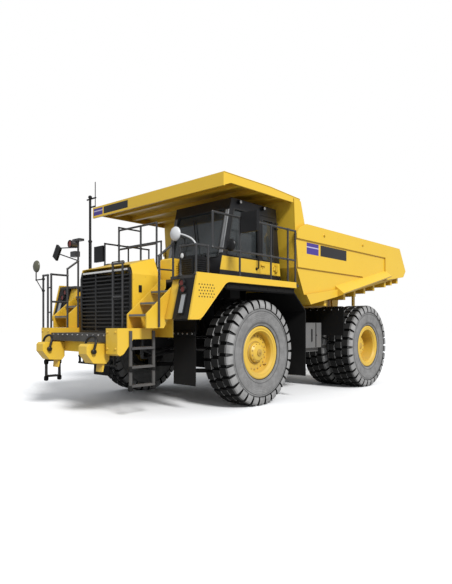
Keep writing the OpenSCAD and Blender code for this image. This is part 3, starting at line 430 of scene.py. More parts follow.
rim_gold = coat("rim_gold", gold_outside((0.7, 0.46, 0.05)), gold_outside((0.56, 0.34, 0.035)), 0.34, dust=0.3,
                wear=0.3, height=2.4, edge=0.006)
paint(rim_gold, "rim_front_left", "rim_front_right", "rims_rear_left", "rims_rear_right")
nut_steel = coat("nut_steel", (0.5, 0.3, 0.03), (0.34, 0.22, 0.05), 0.4, dust=0.3, wear=0.5,
                 chip=(0.3, 0.3, 0.3))
for side, hand in sides:
    out = Vector((side, 0, 0))
    bm = bmesh.new()
    hub = at(side * front_hub_x, 0, hub_z)
    bolts(bm, circle(hub + out * 0.115, "x", 0.335, 20), out, 0.017)
    bolts(bm, circle(hub + out * 0.208, "x", 0.172, 12, 0.5), out, 0.011)
    turned(bm, hub, out, [(0.07, 0.24), (0.07, 0.256), (0.058, 0.262), (0.02, 0.264), (0.018, 0.28), (0, 0.28)],
           28)
    turned(bm, hub, out, [(0.232, 0.125), (0.232, 0.142), (0.222, 0.15), (0.212, 0.15)], 64)
    tube(bm, [hub + Vector((side * 0.1, 0.29, -0.25)), hub + Vector((side * 0.16, 0.3, -0.26)),
              hub + Vector((side * 0.2, 0.27, -0.23))], 0.012, 0.03)
    fit("front_wheel_nuts_" + hand, bm, nut_steel, "wheel_front_" + hand)
    bm = bmesh.new()
    turned(bm, hub, out, [(0.466, 0.27), (0.47, 0.281), (0.49, 0.287), (0.512, 0.284), (0.524, 0.274)], 72)
    turned(bm, hub, out, [(0.43, 0.2), (0.436, 0.235), (0.425, 0.24), (0.42, 0.21)], 72)
    fit("front_lock_ring_" + hand, bm, rim_gold, "wheel_front_" + hand)
    bm = bmesh.new()
    hub = at(side * rear_hub_x, wheelbase, hub_z)
    bolts(bm, circle(hub + out * 0.28, "x", 0.335, 20), out, 0.017)
    bolts(bm, circle(hub + out * 0.428, "x", 0.165, 10), out, 0.012)
    turned(bm, hub, out, [(0.08, 0.428), (0.08, 0.446), (0.06, 0.456), (0, 0.456)], 28)
    fit("rear_wheel_nuts_" + hand, bm, nut_steel, "wheels_rear_" + hand)
    bm = bmesh.new()
    turned(bm, hub, out, [(0.466, 0.636), (0.47, 0.646), (0.49, 0.652), (0.512, 0.649), (0.524, 0.639)], 72)
    fit("rear_lock_ring_" + hand, bm, rim_gold, "wheels_rear_" + hand)

# Tyres. Big lugged rubber tyres: the tread's grooves are dark, while the shoulders of the lugs and
# the sidewalls are grey with dust. Fine moulded rings run round the sidewalls.
wall_end = 0.86
lug_tip = 1.035
outer_rear_x = 1.905


def tyre_rubber(name, node):
    """Black rubber with dust on its sidewalls and shoulders, and fine rings below the shoulders."""
    low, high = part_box(node)
    home = cad[node].matrix_world.translation
    finish, tree, shader = new_finish(name)
    axes = place_axes(tree)
    back, up = [axes[axis] - ((low[i] + high[i]) / 2 - home[i]) for i, axis in ((1, "Y"), (2, "Z"))]
    radius = step(tree, "SQRT", back * back + up * up)
    sideways = step(tree, "ABSOLUTE", place_axes(tree, "Normal")["X"]) ** 1.3
    dusty = (sideways * (blotches(tree, 7.0) + 0.35).clamped()).clamped()
    on_tip = (radius > lug_tip) * 0.03
    shoulder = ((radius - wall_end) * 14.0).clamped()
    grey = blended(tree, shoulder, (0.25, 0.247, 0.243), (0.36, 0.356, 0.35))
    base = blended(tree, (dusty + on_tip).clamped(), (0.007, 0.007, 0.007), grey)
    base = blended(tree, blotches(tree, 22.0) * 0.12, base, (0.05, 0.048, 0.045))
    join(tree, base, shader["Base Color"])
    shader["Roughness"].default_value = 0.82
    shader["Specular IOR Level"].default_value = 0.2
    relief = wave(radius, 0.034) * (radius < wall_end) + blotches(tree, 60.0) * 1.2
    join(tree, bumped(tree, relief, 0.003, 0.5), shader["Normal"])
    return finish


paint(tyre_rubber("front_rubber", "tyre_front_left"), "tyre_front_left", "tyre_front_right")
paint(tyre_rubber("rear_rubber", "tyres_rear_left"), "tyres_rear_left", "tyres_rear_right")
tyre_mark = coat("tyre_mark", (0.1, 0.1, 0.1), (0.16, 0.16, 0.158), 0.85, dust=0.0, wear=0.0)
for x, y, axle in ((front_hub_x, 0, "wheel_front_"), (outer_rear_x, wheelbase, "wheels_rear_")):
    for side, hand in sides:
        bm = bmesh.new()
        for radius, bulge in ((0.6, 0.302), (0.83, 0.314)):
            turned(bm, at(side * x, y, hub_z), (side, 0, 0),
                   [(radius - 0.008, bulge - 0.006), (radius - 0.004, bulge + 0.008),
                    (radius + 0.004, bulge + 0.008), (radius + 0.008, bulge - 0.006)], 96)
        fit("sidewall_ribs_" + axle + hand, bm, tyre_mark, axle + hand, 60)

# Bumper, step and ladders. A heavy yellow bumper in two blocks, with tow hooks and black shackles in
# front, a chequered step plate bolted on its beam and grey ladders hung from its ends. A barred black
# guard hangs behind it, with two hoses.
yellow = (0.77, 0.505, 0.042)
yellow_faded = (0.68, 0.41, 0.03)
# a deeper orange painted into the yellow paint's corners as painted shade
yellow_corner_shade = (0.42, 0.19, 0.012)
yellow_coat = coat("yellow_coat", yellow, yellow_faded, 0.24, dust=0.3, wear=0.35, height=2.2,
                   corner_shade=yellow_corner_shade)
paint(yellow_coat, "bumper", "tow_hooks")
grey_coat = coat("grey_coat", (0.12, 0.122, 0.125), (0.18, 0.175, 0.17), 0.45, dust=0.4)
paint(coat("ladder_grey", (0.05, 0.05, 0.052), (0.09, 0.088, 0.085), 0.4, dust=0.3), "front_ladders")


def chequer(name, colour, faded, spacing=0.06):
    """Floor plate with small raised bars that lie crosswise in turn."""
    finish = coat(name, colour, faded, 0.42, dust=0.6, wear=0.3, chip=(0.25, 0.25, 0.25),
                  dust_colour=(0.16, 0.15, 0.13), height=6.0)
    tree = finish.node_tree
    axes = place_axes(tree)
    crossed = wave(axes["X"] + axes["Y"], spacing) * wave(axes["X"] - axes["Y"], spacing)
    raised = ((crossed - 0.25) * 3.0).clamped()
    normal = tree.nodes["Principled BSDF"].inputs["Normal"]
    join(tree, bumped(tree, raised, 0.004, 0.8, normal.links[0].from_socket), normal)
    return finish


chequer_plate = chequer("chequer_plate", (0.022, 0.022, 0.023), (0.04, 0.039, 0.038))
paint(chequer_plate, "bumper_platform")
bm = bmesh.new()
bolts(bm, [at(-0.85 + k * 0.17, -2.85, 1.42) for k in range(11)], (0, -1, 0), 0.012)
fit("step_bolts", bm, bare_steel)
grip_pitch = 0.05
for side, hand in sides:
    bm = bmesh.new()
    hook_x = side * 0.74
    tube(bm, [at(hook_x - 0.152, -3.08, 1.15), at(hook_x - 0.155, -3.02, 1.36), at(hook_x, -3.0, 1.42),
              at(hook_x + 0.155, -3.02, 1.36), at(hook_x + 0.152, -3.08, 1.15)], 0.022, 0.12, steps=14)
    turned(bm, at(hook_x - 0.19, -3.08, 1.15), (1, 0, 0),
           [(0, 0), (0.03, 0), (0.042, 0.01), (0.042, 0.06), (0.028, 0.062), (0.028, 0.318), (0.042, 0.32),
            (0.042, 0.37), (0.03, 0.38), (0, 0.38)], 24)
    fit("tow_shackle_" + hand, bm, black_coat)
    bm = bmesh.new()
    bolts(bm, [at(side * x, -2.88, z) for x in (1.0, 1.23) for z in (1.2, 1.48)], (0, -1, 0), 0.016)
    fit("bumper_bolts_" + hand, bm, yellow_coat)
    bm = bmesh.new()
    front, rear = (-2.62, -2.12) if side > 0 else (-2.77, -2.48)
    for z in (0.54, 0.86, 1.18):
        row(bm, round((rear - front - 0.08) / grip_pitch), (0, grip_pitch, 0),
            at(side * 1.286, front + 0.05, z + 0.038), at(side * 1.334, front + 0.07, z + 0.048), 0.003)
    fit("ladder_grips_" + hand, bm, bare_steel)
    bm = bmesh.new()
    for y in (front, rear):
        for z in (0.47, 0.8):
            turned(bm, at(side * 1.295, y, z), (0, 0, 1),
                   [(0.02, 0), (0.042, 0.01), (0.046, 0.05), (0.042, 0.09), (0.02, 0.1)], 18)
    fit("ladder_rubbers_" + hand, bm, boot_rubber)
bm = bmesh.new()
row(bm, 9, (0.145, 0, 0), at(-0.6, -2.46, 0.86), at(-0.56, -2.42, 1.11), 0.008)
for z in (0.84, 0.97, 1.08):
    slab(bm, at(-0.64, -2.45, z), at(0.64, -2.425, z + 0.04), 0.008)
tube(bm, [at(1.2, -2.3, 1.36), at(1.2, -2.3, 1.1), at(0.7, -1.9, 0.98), at(0.66, -0.9, 1.1)], 0.03, 0.15)
tube(bm, [at(1.1, -2.2, 1.36), at(1.1, -2.2, 1.16), at(0.75, -1.7, 1.06), at(0.66, -0.9, 1.2)], 0.024, 0.15)
fit("belly_guard_and_hoses", bm, black_coat)

# Stairs. Yellow side plates with three wide treads each side; grating strips are pressed into the
# treads and a dark ribbed nosing is riveted along each front edge.
paint(yellow_coat, "stairs")
for side, hand in sides:
    bm = bmesh.new()
    for i in range(3):
        front, top = -2.46 + i * 0.25, 1.78 + i * 0.215
        slab(bm, at(side * 1.034, front - 0.004, top - 0.03),
             at(side * 1.516, front + 0.03, top + 0.008), 0.003)
        row(bm, 5, (0, 0.036, 0), at(side * 1.054, front + 0.06, top - 0.002),
            at(side * 1.496, front + 0.078, top + 0.006), 0.002)
    fit("stair_nosings_" + hand, bm, grey_coat)

# Hood, cabinet and grille. A yellow sheet-steel hood with latches and a handle on top; a louvred
# cabinet and a black cooling unit before the cab; a black grille with mesh and a bright strip.
deck_top = 2.449


def mouth_painted_shade(shade):
    """Yellow outside; black on the faces in the mouth behind the grille, painted shade."""
    def draw(tree):
        axes = place_axes(tree)
        mouth = (step(tree, "ABSOLUTE", axes["X"]) < 0.845) * (axes["Z"] < 2.655)
        upright = place_axes(tree, "Normal")["Z"] < 0.1
        return blended(tree, mouth * upright, shade, (0.006, 0.006, 0.006))
    return draw


paint(yellow_coat, "cowl_box")
paint(coat("hood_coat", mouth_painted_shade(yellow), mouth_painted_shade(yellow_faded), 0.24, dust=0.3, wear=0.35, height=2.2),
      "hood")
grille_satin = coat("grille_satin", (0.014, 0.014, 0.0145), (0.026, 0.026, 0.026), 0.34, dust=0.1, wear=0.2)
paint(grille_satin, "grille")
bm = bmesh.new()
for k in range(43):
    wire_x = -0.8 + k * 0.038
    tube(bm, [at(wire_x, -2.228, 1.47), at(wire_x, -2.228, 2.6)], 0.003, steps=5)
for k in range(29):
    wire_z = 1.49 + k * 0.039
    tube(bm, [at(-0.82, -2.226, wire_z), at(0.82, -2.226, wire_z)], 0.003, steps=5)
fit("grille_mesh", bm, grille_satin)
bright_strip = coat("bright_strip", (0.72, 0.72, 0.7), (0.55, 0.54, 0.52), 0.35, dust=0.1, wear=0.2)
bm = bmesh.new()
slab(bm, at(-0.74, -2.276, 2.606), at(0.74, -2.269, 2.642), 0.002)
bolts(bm, [at(x, -2.276, 2.624) for x in (-0.7, -0.35, 0.0, 0.35, 0.7)], (0, -1, 0), 0.007)
fit("grille_strip", bm, bright_strip)
bm = bmesh.new()
for side, hand in sides:
    for z in (1.75, 2.2):
        slab(bm, at(side * 0.869, -2.12, z), at(side * 0.886, -2.05, z + 0.13), 0.005)
        slab(bm, at(side * 0.884, -2.1, z + 0.02), at(side * 0.9, -2.07, z + 0.11), 0.006)
tube(bm, [at(x, -1.95, z) for x, z in ((-0.2, 2.788), (-0.2, 2.85), (0.2, 2.85), (0.2, 2.788))], 0.012, 0.03)
fit("hood_latches", bm, black_coat)
bm = bmesh.new()
row(bm, 6, (0, 0, 0.034), at(1.168, -1.48, 2.53), at(1.184, -1.18, 2.545), 0.004)
slab(bm, at(1.168, -1.54, 2.49), at(1.174, -1.02, 2.8), 0.003)
tube(bm, [at(x, -1.1, z) for x, z in ((1.172, 2.6), (1.205, 2.6), (1.205, 2.7), (1.172, 2.7))], 0.007, 0.015)
bolts(bm, [at(1.174, y, z) for y in (-1.52, -1.04) for z in (2.51, 2.78)], (1, 0, 0), 0.007)
fit("cabinet_door", bm, yellow_coat)
bm = bmesh.new()
slab(bm, at(1.22, -1.45, deck_top), at(1.62, -1.02, 2.88), 0.03)
row(bm, 8, (0, 0, 0.04), at(1.26, -1.462, 2.52), at(1.58, -1.444, 2.54), 0.005)
row(bm, 8, (0, 0, 0.04), at(1.612, -1.4, 2.52), at(1.63, -1.07, 2.54), 0.005)
for x in (1.3, 1.4, 1.5):
    tube(bm, [at(x, -1.06, 2.86), at(x, -1.06, 2.95), at(x - 0.12, -0.86, 2.9), at(x - 0.14, -0.8, 2.86)],
         0.016, 0.07)
fit("cooling_unit", bm, black_coat)

# Fenders and lamps. Yellow fenders hold black lamp panels; each has two round lamps in bezels over a
# long upright one. Rows of thin near-black discs on the fender's outer face stand for small holes, their
# dark painted shade; a rolled lip and a bolted rubber strip edge the wheel arch.
paint(yellow_coat, "fender_left", "fender_right")
paint(black_coat, "lamp_panels")
panel_foot = 1.7
panel_lean = 0.185 / 0.7


def lens_colour(tree):
    """The round upper lamps are reddish, the long lower one is clear."""
    upper = place_axes(tree)["Z"] > 2.145
    return blended(tree, upper, (0.3, 0.31, 0.32), (0.17, 0.028, 0.022))


lamp_lens = coat("lamp_lens", lens_colour, lens_colour, 0.06, dust=0.25, wear=0.0, edge=0.012)
paint(lamp_lens, "headlamps")
# near-black discs on the fender stand for holes: painted shade
hole_shade = coat("hole_shade", (0.01, 0.01, 0.01), (0.02, 0.018, 0.015), 0.7, dust=0.1, wear=0.0)
for side, hand in sides:
    bm = bmesh.new()
    for x, z in ((1.9, 2.32), (1.96, 2.21)):
        turned(bm, at(side * x, -2.17 + (z - panel_foot) * panel_lean, z), (0, -1, 0),
               [(0.07, -0.03), (0.07, 0.006), (0.062, 0.014), (0.052, 0.01), (0.05, -0.002)], 32)
    for z in (1.785, 2.125):
        front = -2.168 + (z - panel_foot) * panel_lean
        slab(bm, at(side * 2.0 - 0.06, front - 0.012, z), at(side * 2.0 + 0.06, front + 0.06, z + 0.02), 0.004)
    for x in (1.947, 2.053):
        foot = at(side * x, -2.15 + 0.1 * panel_lean, 1.8)
        tube(bm, [foot, foot + Vector((0, 0.33 * panel_lean, 0.33))], 0.012)
    fit("lamp_bezels_" + hand, bm, black_coat)
    bm = bmesh.new()
    for k in range(6):
        for line in range(5):
            spot = at(side * 2.239, -1.92 + k * 0.066 + line % 2 * 0.033, 2.08 + line * 0.052)
            turned(bm, spot, (side, 0, 0), [(0.013, 0), (0.013, 0.003), (0, 0.003)], 12)
    fit("fender_holes_" + hand, bm, hole_shade)
    bm = bmesh.new()
    slab(bm, at(side * 2.12, -1.2, 2.24), at(side * 2.198, 0.94, 2.392), 0.02)
    bolts(bm, [at(side * 2.198, -1.1 + k * 0.28, 2.31) for k in range(8)], (side, 0, 0), 0.012)
    fit("arch_rubber_" + hand, bm, boot_rubber)
    bm = bmesh.new()
    tube(bm, [at(side * 2.243, y, z)
              for y, z in ((-2.135, 1.7), (-1.893, 1.7), (-1.236, 2.376), (0.94, 2.376))], 0.012, 0.1)
    fit("fender_lip_" + hand, bm, yellow_coat)

# Deck and handrails. A chequered walkway deck with black tube rails; each post stands on a bolted
# flange and the crossings are clamped. A round lamp is fixed to the front right post.
paint(chequer_plate, "deck")
rail_coat = coat("rail_coat", (0.026, 0.026, 0.028), (0.05, 0.05, 0.05), 0.2, dust=0.15, wear=0.25,
                 chip=(0.16, 0.155, 0.15), shine=0.8)
paint(rail_coat, "handrails_left", "handrails_right", "handrails_front")


def band(bm, start, along, inner, outer, length, lip, steps):
    """A clamp round a tube, with its edges broken."""
    turned(bm, start, along, [(inner, 0), (outer, lip), (outer, length - lip), (inner, length)], steps)


post_x = 2.175
rail_heights = (2.96, 3.58)
posts = [(post_x, y) for y in (-0.8, 0.15, 0.73, 1.0, -1.64, -1.93)]
posts += [(-post_x, y) for y in (-0.774, -0.362, -0.07, 0.329, 0.594)]
posts += [(-0.9, -0.07), (-0.52, -1.55), (0.21, -1.55), (0.7, -1.55), (1.79, -1.93)]
bm = bmesh.new()
for x, y in posts:
    turned(bm, at(x, y, deck_top), (0, 0, 1),
           [(0.055, 0), (0.055, 0.012), (0.032, 0.016), (0.028, 0.05), (0.0205, 0.054)], 20)
    bolts(bm, circle(at(x, y, 2.46), "z", 0.042, 4, 0.5), (0, 0, 1), 0.006)
for x, places in ((post_x, (-0.8, 0.15, 0.73)), (-post_x, (-0.362, -0.07, 0.329))):
    for y in places:
        for z in rail_heights:
            band(bm, at(x, y - 0.035, z), (0, 1, 0), 0.0205, 0.027, 0.07, 0.002, 18)
fit("rail_feet_and_clamps", bm, rail_coat)
bracket_heights = (2.29, 2.52)
bm = bmesh.new()
tube(bm, [at(-1.55, -2.85, bracket_heights[1]), at(-1.29, -2.85, bracket_heights[0])], 0.009)
for z in bracket_heights:
    band(bm, at(-1.262, -2.85, z - 0.02), (0, 0, 1), 0.021, 0.03, 0.04, 0.003, 18)
turned(bm, at(-1.035, -2.39, 3.26), (0, -1, 0),
       [(0.078, -0.01), (0.08, 0.0), (0.078, 0.012), (0.068, 0.012), (0.066, 0.0)], 32)
fit("post_brackets", bm, black_coat)
bm = bmesh.new()
turned(bm, at(-1.035, -2.386, 3.26), (0, -1, 0), [(0.068, 0), (0.06, 0.008), (0.03, 0.013), (0, 0.014)], 32)
fit("post_lamp_lens", bm, lamp_lens, sharp=60)

# Cab. A steel cab, black but for the yellow panel under its side windows and a yellow lower door;
# grey glass sits in rubber seals. It has a wiper, roof lamps and a grab bar by the door.
door_face = 1.748
pane_x = 1.752
far_pane_x = 0.178
sill_z, head_z = 2.95, 3.87


def cab_paint(shift, panel_colour, shell_colour):
    """Yellow between sill and belt on the door side, a black stripe below and black elsewhere."""
    def draw(tree):
        axes = place_axes(tree)
        outside = axes["X"] > 1.742 - shift.x
        belt = (axes["Z"] > 2.655 - shift.z) * (axes["Z"] < 2.925 - shift.z)
        return blended(tree, outside * belt, shell_colour, panel_colour)
    return draw


shell_black, shell_faded = (0.01, 0.01, 0.011), (0.02, 0.02, 0.021)
cab_home, door_home = [cad[name].matrix_world.translation for name in ("cab_body", "door")]
cab_finish, door_finish = [
    coat(name, cab_paint(home, yellow, shell_black), cab_paint(home, yellow_faded, shell_faded), 0.26,
         dust=0.15, ground=-home.z, wear=0.1, chip=(0.08, 0.075, 0.07), dust_colour=(0.12, 0.105, 0.09),
         height=4.0)
    for name, home in (("cab_finish", cab_home), ("door_finish", door_home))]
paint(cab_finish, "cab_body", "cab_roof")
paint(door_finish, "door")


def window_pane(name):
    """Grey safety glass with a film of dust that is thicker in places."""
    finish, tree, shader = new_finish(name)
    film = ((blotches(tree, 1.2, 2.0) - 0.42) * 0.4).clamped()
    join(tree, blended(tree, film, (0.1, 0.115, 0.12), (0.3, 0.29, 0.27)), shader["Base Color"])
    join(tree, film * 0.5 + 0.03, shader["Roughness"])
    shader["Transmission Weight"].default_value = 0.7
    shader["IOR"].default_value = 1.6
    return finish


paint(window_pane("window_pane"), "cab_glass", "door_glass")


def cab_front(z):
    """Where the cab's leaning front face is at a height."""
    return -0.92 + 0.37 * (z - 2.45) / 1.63


def cab_back(z):
    """Where the cab's leaning back face is at a height."""
    return 1.08 - 0.19 * (z - 2.45) / 1.63


seal_rubber = coat("seal_rubber", (0.012, 0.012, 0.012), (0.03, 0.03, 0.03), 0.6, dust=0.2, wear=0.0)
bm = bmesh.new()
tube(bm, [at(x, cab_front(z) - 0.002, z)
          for x, z in ((0.29, 2.91), (1.64, 2.91), (1.64, head_z), (0.29, head_z))], 0.013, 0.05, closed=True)
tube(bm, [at(pane_x, cab_front(sill_z) + 0.12, sill_z), at(pane_x, 0.256, sill_z), at(pane_x, 0.256, head_z),
          at(pane_x, cab_front(head_z) + 0.12, head_z)], 0.012, 0.05, closed=True)
tube(bm, [at(x, cab_back(z) + 0.002, z)
          for x, z in ((0.33, sill_z), (1.6, sill_z), (1.6, head_z), (0.33, head_z))], 0.012, 0.05, closed=True)
tube(bm, [at(far_pane_x, cab_front(sill_z) + 0.12, sill_z), at(far_pane_x, 0.9, sill_z),
          at(far_pane_x, 0.793, head_z), at(far_pane_x, cab_front(head_z) + 0.12, head_z)],
     0.012, 0.05, closed=True)
fit("window_seals", bm, seal_rubber, sharp=60)
bm = bmesh.new()
tube(bm, [at(pane_x, y, z) for y, z in ((0.416, sill_z), (0.78, sill_z), (0.78, 3.79), (0.416, 3.79))],
     0.011, 0.04, closed=True)
fit("door_window_seal", bm, seal_rubber, "door", 60)
pillar_grey = coat("pillar_grey", (0.17, 0.175, 0.18), (0.11, 0.11, 0.11), 0.25, dust=0.1, wear=0.1)
bm = bmesh.new()
for x in (0.21, 0.26, 1.67, 1.72):
    tube(bm, [at(x, cab_front(z) + 0.008, z) for z in (2.98, 3.84)], 0.027, steps=16)
fit("pillar_strips", bm, pillar_grey, sharp=60)
bm = bmesh.new()
pivot = at(1.1, cab_front(2.86) - 0.02, 2.86)
turned(bm, pivot + Vector((0, 0.03, 0)), (0, -1, 0), [(0.03, 0), (0.03, 0.04), (0.02, 0.055), (0, 0.055)], 20)
tube(bm, [pivot, at(0.92, cab_front(3.42) - 0.022, 3.42)], 0.009)
top, foot = at(0.8, cab_front(3.74) - 0.016, 3.74), at(1.03, cab_front(3.1) - 0.016, 3.1)
tube(bm, [foot, top], 0.011)
for k in range(4):
    spot = foot.lerp(top, 0.15 + k * 0.23)
    slab(bm, spot - Vector((0.014, 0.012, 0.01)), spot + Vector((0.014, 0.008, 0.01)), 0.003)
fit("wiper", bm, black_coat)
roof_lamps = [at(door_face, y, 4.02) for y in (-0.33, 0.43)]
bm = bmesh.new()
for place in roof_lamps:
    turned(bm, place, (1, 0, 0), [(0.036, 0), (0.042, 0.01), (0.042, 0.055), (0.035, 0.062), (0.03, 0.058)])
row(bm, 7, (0, 0.2, 0), at(0.3, -0.45, 4.078), at(1.63, -0.42, 4.09), 0.005)
fit("roof_fittings", bm, black_coat)
bm = bmesh.new()
for place in roof_lamps:
    turned(bm, place, (1, 0, 0), [(0.034, 0.05), (0.03, 0.06), (0.015, 0.066), (0, 0.067)])
fit("roof_lamp_lenses", bm, bright_strip, sharp=60)
bar_ends = (2.75, 3.6)
bm = bmesh.new()
tube(bm, [at(door_face, 0.22, bar_ends[0]), at(1.81, 0.22, bar_ends[0]), at(1.81, 0.22, bar_ends[1]),
          at(door_face, 0.22, bar_ends[1])], 0.014, 0.04)
for z in bar_ends:
    turned(bm, at(1.749, 0.22, z), (1, 0, 0), [(0.03, 0), (0.03, 0.008), (0.016, 0.012)], 18)
fit("door_grab_bar", bm, black_coat)
bm = bmesh.new()
for z0, z1 in ((2.66, 2.69), (2.9, 2.915)):
    slab(bm, at(door_face, 0.37, z0), at(1.753, 0.82, z1), 0.002)
turned(bm, at(1.75, 0.43, 2.79), (1, 0, 0), [(0.018, 0), (0.018, 0.008), (0.012, 0.01), (0, 0.01)], 18)
fit("door_pressings", bm, door_finish, "door")

# Driver's place. A sprung seat with crowned cushions in woven cloth on a black base, before a dash
# with a hooded gauge board and a padded steering wheel on a leaning column.
dash_plastic = coat("dash_plastic", (0.02, 0.02, 0.022), (0.03, 0.03, 0.03), 0.55, dust=0.3, wear=0.05,
                    height=6.0)
paint(dash_plastic, "dash")
seat_x = 0.975
thread_pitch = 0.008


def weave(tree):
    """Tan cloth of crossed threads."""
    axes = place_axes(tree)
    crossed = wave(axes["X"], thread_pitch) * wave(axes["Y"] + axes["Z"], thread_pitch)
    return blended(tree, crossed * 0.5 + 0.5, (0.16, 0.125, 0.09), (0.3, 0.25, 0.18))


seat_cloth = coat("seat_cloth", weave, (0.2, 0.17, 0.13), 0.85, dust=0.2, wear=0.0, edge=0.02, height=6.0)


def swollen(form, cap):
    """The form after its cover is blown up from inside, as stuffing does; no point moves more than cap."""
    mesh = bpy.data.meshes.new("stuffing")
    form.to_mesh(mesh)
    form.free()
    pad = bpy.data.objects.new("stuffing", mesh)
    bpy.context.collection.objects.link(pad)
    bpy.context.view_layer.objects.active = pad
    remesh = pad.modifiers.new("remesh", "REMESH")
    remesh.mode = "VOXEL"
    remesh.voxel_size = 0.008
    bpy.ops.object.modifier_apply(modifier="remesh")
    last_frame = 20
    cover = pad.modifiers.new("cover", "CLOTH")
    cover.settings.use_pressure = True
    cover.settings.uniform_pressure_force = 4.0
    cover.settings.effector_weights.gravity = 0.0
    cover.point_cache.frame_end = last_frame
    for moment in range(1, last_frame + 1):
        bpy.context.scene.frame_set(moment)
    blown = pad.evaluated_get(bpy.context.evaluated_depsgraph_get()).data
    moves = [new.co - old.co for new, old in zip(blown.vertices, pad.data.vertices)]
    pad.modifiers.remove(cover)
    bpy.context.scene.frame_set(1)
    for point, move in zip(pad.data.vertices, moves):
        point.co += move * min(1.0, cap / max(move.length, 1e-6))
    done = bmesh.new()
    done.from_mesh(pad.data)
    bpy.data.objects.remove(pad)
    return done


def cushion(name, low, high, crown_axis, way, channels):
    """A stuffed cushion with round corners, crowned on one face, with channels sewn across that face."""
    middle, half = (low + high) / 2, (high - low) / 2 - Vector((0.014, 0.014, 0.014))
    bm = bmesh.new()
    bmesh.ops.create_cube(bm, size=2.0)
    bmesh.ops.subdivide_edges(bm, edges=bm.edges[:], cuts=15, use_grid_fill=True)
    for corner in bm.verts:
        round_by = sum(abs(c) ** 6 for c in corner.co) ** (1 / 6)
        corner.co = Vector([middle[i] + corner.co[i] / round_by * half[i] for i in range(3)])
    bm = swollen(bm, 0.022)
    across = 1 if crown_axis == 2 else 2
    for corner in bm.verts:
        place = [(corner.co[i] - middle[i]) / half[i] for i in range(3)]
        on_face = max(0.0, min(1.0, way * place[crown_axis] * 2))
        along = (place[across] + 1) / 2 * channels
        sewn = math.exp(-((along - round(along)) / 0.1) ** 2) if 0.5 < along < channels - 0.5 else 0.0
        corner.co[crown_axis] -= way * on_face * sewn * 0.009
        corner.co += noise.noise_vector(corner.co * 9.0) * 0.002
    piece = fit(name, bm, seat_cloth, sharp=80)
    piece.modifiers.new("soft", "SUBSURF").levels = 1
    return piece


base_cushion = cushion("seat_cushion", at(0.725, 0.09, 2.85), at(1.225, 0.6, 2.97), 2, 1, 4)
cushion("seat_back", at(0.73, 0.565, 2.985), at(1.22, 0.67, 3.52), 1, -1, 5)
cushion("head_rest", at(0.83, 0.575, 3.545), at(1.12, 0.67, 3.695), 1, -1, 0)
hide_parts("seat")
bm = bmesh.new()
slab(bm, at(0.76, 0.12, 2.82), at(1.19, 0.58, 2.862), 0.01)
for k in range(5):
    inset, foot_z = k * 0.012, 2.52 + k * 0.06
    slab(bm, at(0.82 + inset, 0.17 + inset, foot_z), at(1.13 - inset, 0.53 - inset, foot_z + 0.05), 0.012)
slab(bm, at(0.78, 0.655, 2.9), at(1.17, 0.682, 3.5), 0.012)
for x in (0.91, 1.04):
    tube(bm, [at(x, 0.63, 3.5), at(x, 0.63, 3.58)], 0.008)
for x in (0.7, 1.25):
    slab(bm, at(x - 0.03, 0.3, 3.12), at(x + 0.03, 0.6, 3.17), 0.015)
    tube(bm, [at(x, 0.6, 3.14), at(seat_x + (x - seat_x) * 0.75, 0.665, 3.14)], 0.014)
fit("seat_frame", bm, dash_plastic)
bm = bmesh.new()
centre, tilt = at(seat_x, -0.2, 3.08), Vector((0, -0.55, 0.83)).normalized()
across = Vector((1, 0, 0))
down = tilt.cross(across)
wheel_r = 0.21
tube(bm, hoop(centre, across, down, wheel_r, 36), 0.015, closed=True, steps=12)
for a in (0.5, 2.64, 4.71):
    tube(bm, [centre - tilt * 0.03, centre + (across * math.cos(a) + down * math.sin(a)) * wheel_r], 0.011)
turned(bm, centre, -tilt,
       [(0, -0.01), (0.045, -0.005), (0.05, 0.03), (0.028, 0.05), (0.028, 0.33), (0, 0.33)], 20)
slab(bm, at(0.6, -0.72, 2.925), at(1.4, -0.55, 3.0), 0.03)
for k in range(4):
    turned(bm, at(0.72 + k * 0.17, -0.552, 2.965), (0, 1, 0.1),
           [(0.034, -0.01), (0.034, 0.006), (0.028, 0.008), (0.026, 0.002), (0, 0.002)], 20)
fit("steering_wheel_and_gauges", bm, dash_plastic)

# Mirrors, mast and air cleaner. Mirrors in black shells on bent tubes, the front left one with a
# white dome and arm, the front right one with an olive dome; a work lamp; a mast clamped to the hood;
# an air cleaner with a banded canister.
paint(black_coat, "mirrors_left", "mirrors_right", "mast", "air_cleaner")
mirror_face = coat("mirror_face", (0.75, 0.77, 0.78), (0.6, 0.62, 0.63), 0.04, dust=0.1, wear=0.0, metal=1.0,
                   height=6.0)
white_mirror, olive_mirror = at(1.73, -1.985, 3.18), at(-1.56, -2.83, 2.8)
bm = bmesh.new()
for x0, x1, y, z0, z1 in ((2.235, 2.585, -0.77, 3.305, 3.645), (-2.585, -2.235, -0.744, 3.165, 3.525)):
    slab(bm, at(x0, y - 0.002, z0), at(x1, y + 0.004, z1), 0.003)
for place, r in ((at(2.3, -1.18, 3.02), 0.1), (white_mirror, 0.11), (olive_mirror, 0.109)):
    turned(bm, place, (0, 1, 0), [(r, -0.002), (r, 0.004), (r * 0.7, 0.012), (0, 0.017)], 36)
fit("mirror_faces", bm, mirror_face, sharp=50)


def dome(bm, place, r):
    """The domed back of a round mirror, to the front."""
    turned(bm, place, (0, -1, 0),
           [(r, 0.0), (r, 0.016), (r - 0.012, 0.034), (r - 0.048, 0.054), (0.03, 0.067), (0, 0.069)], 40)


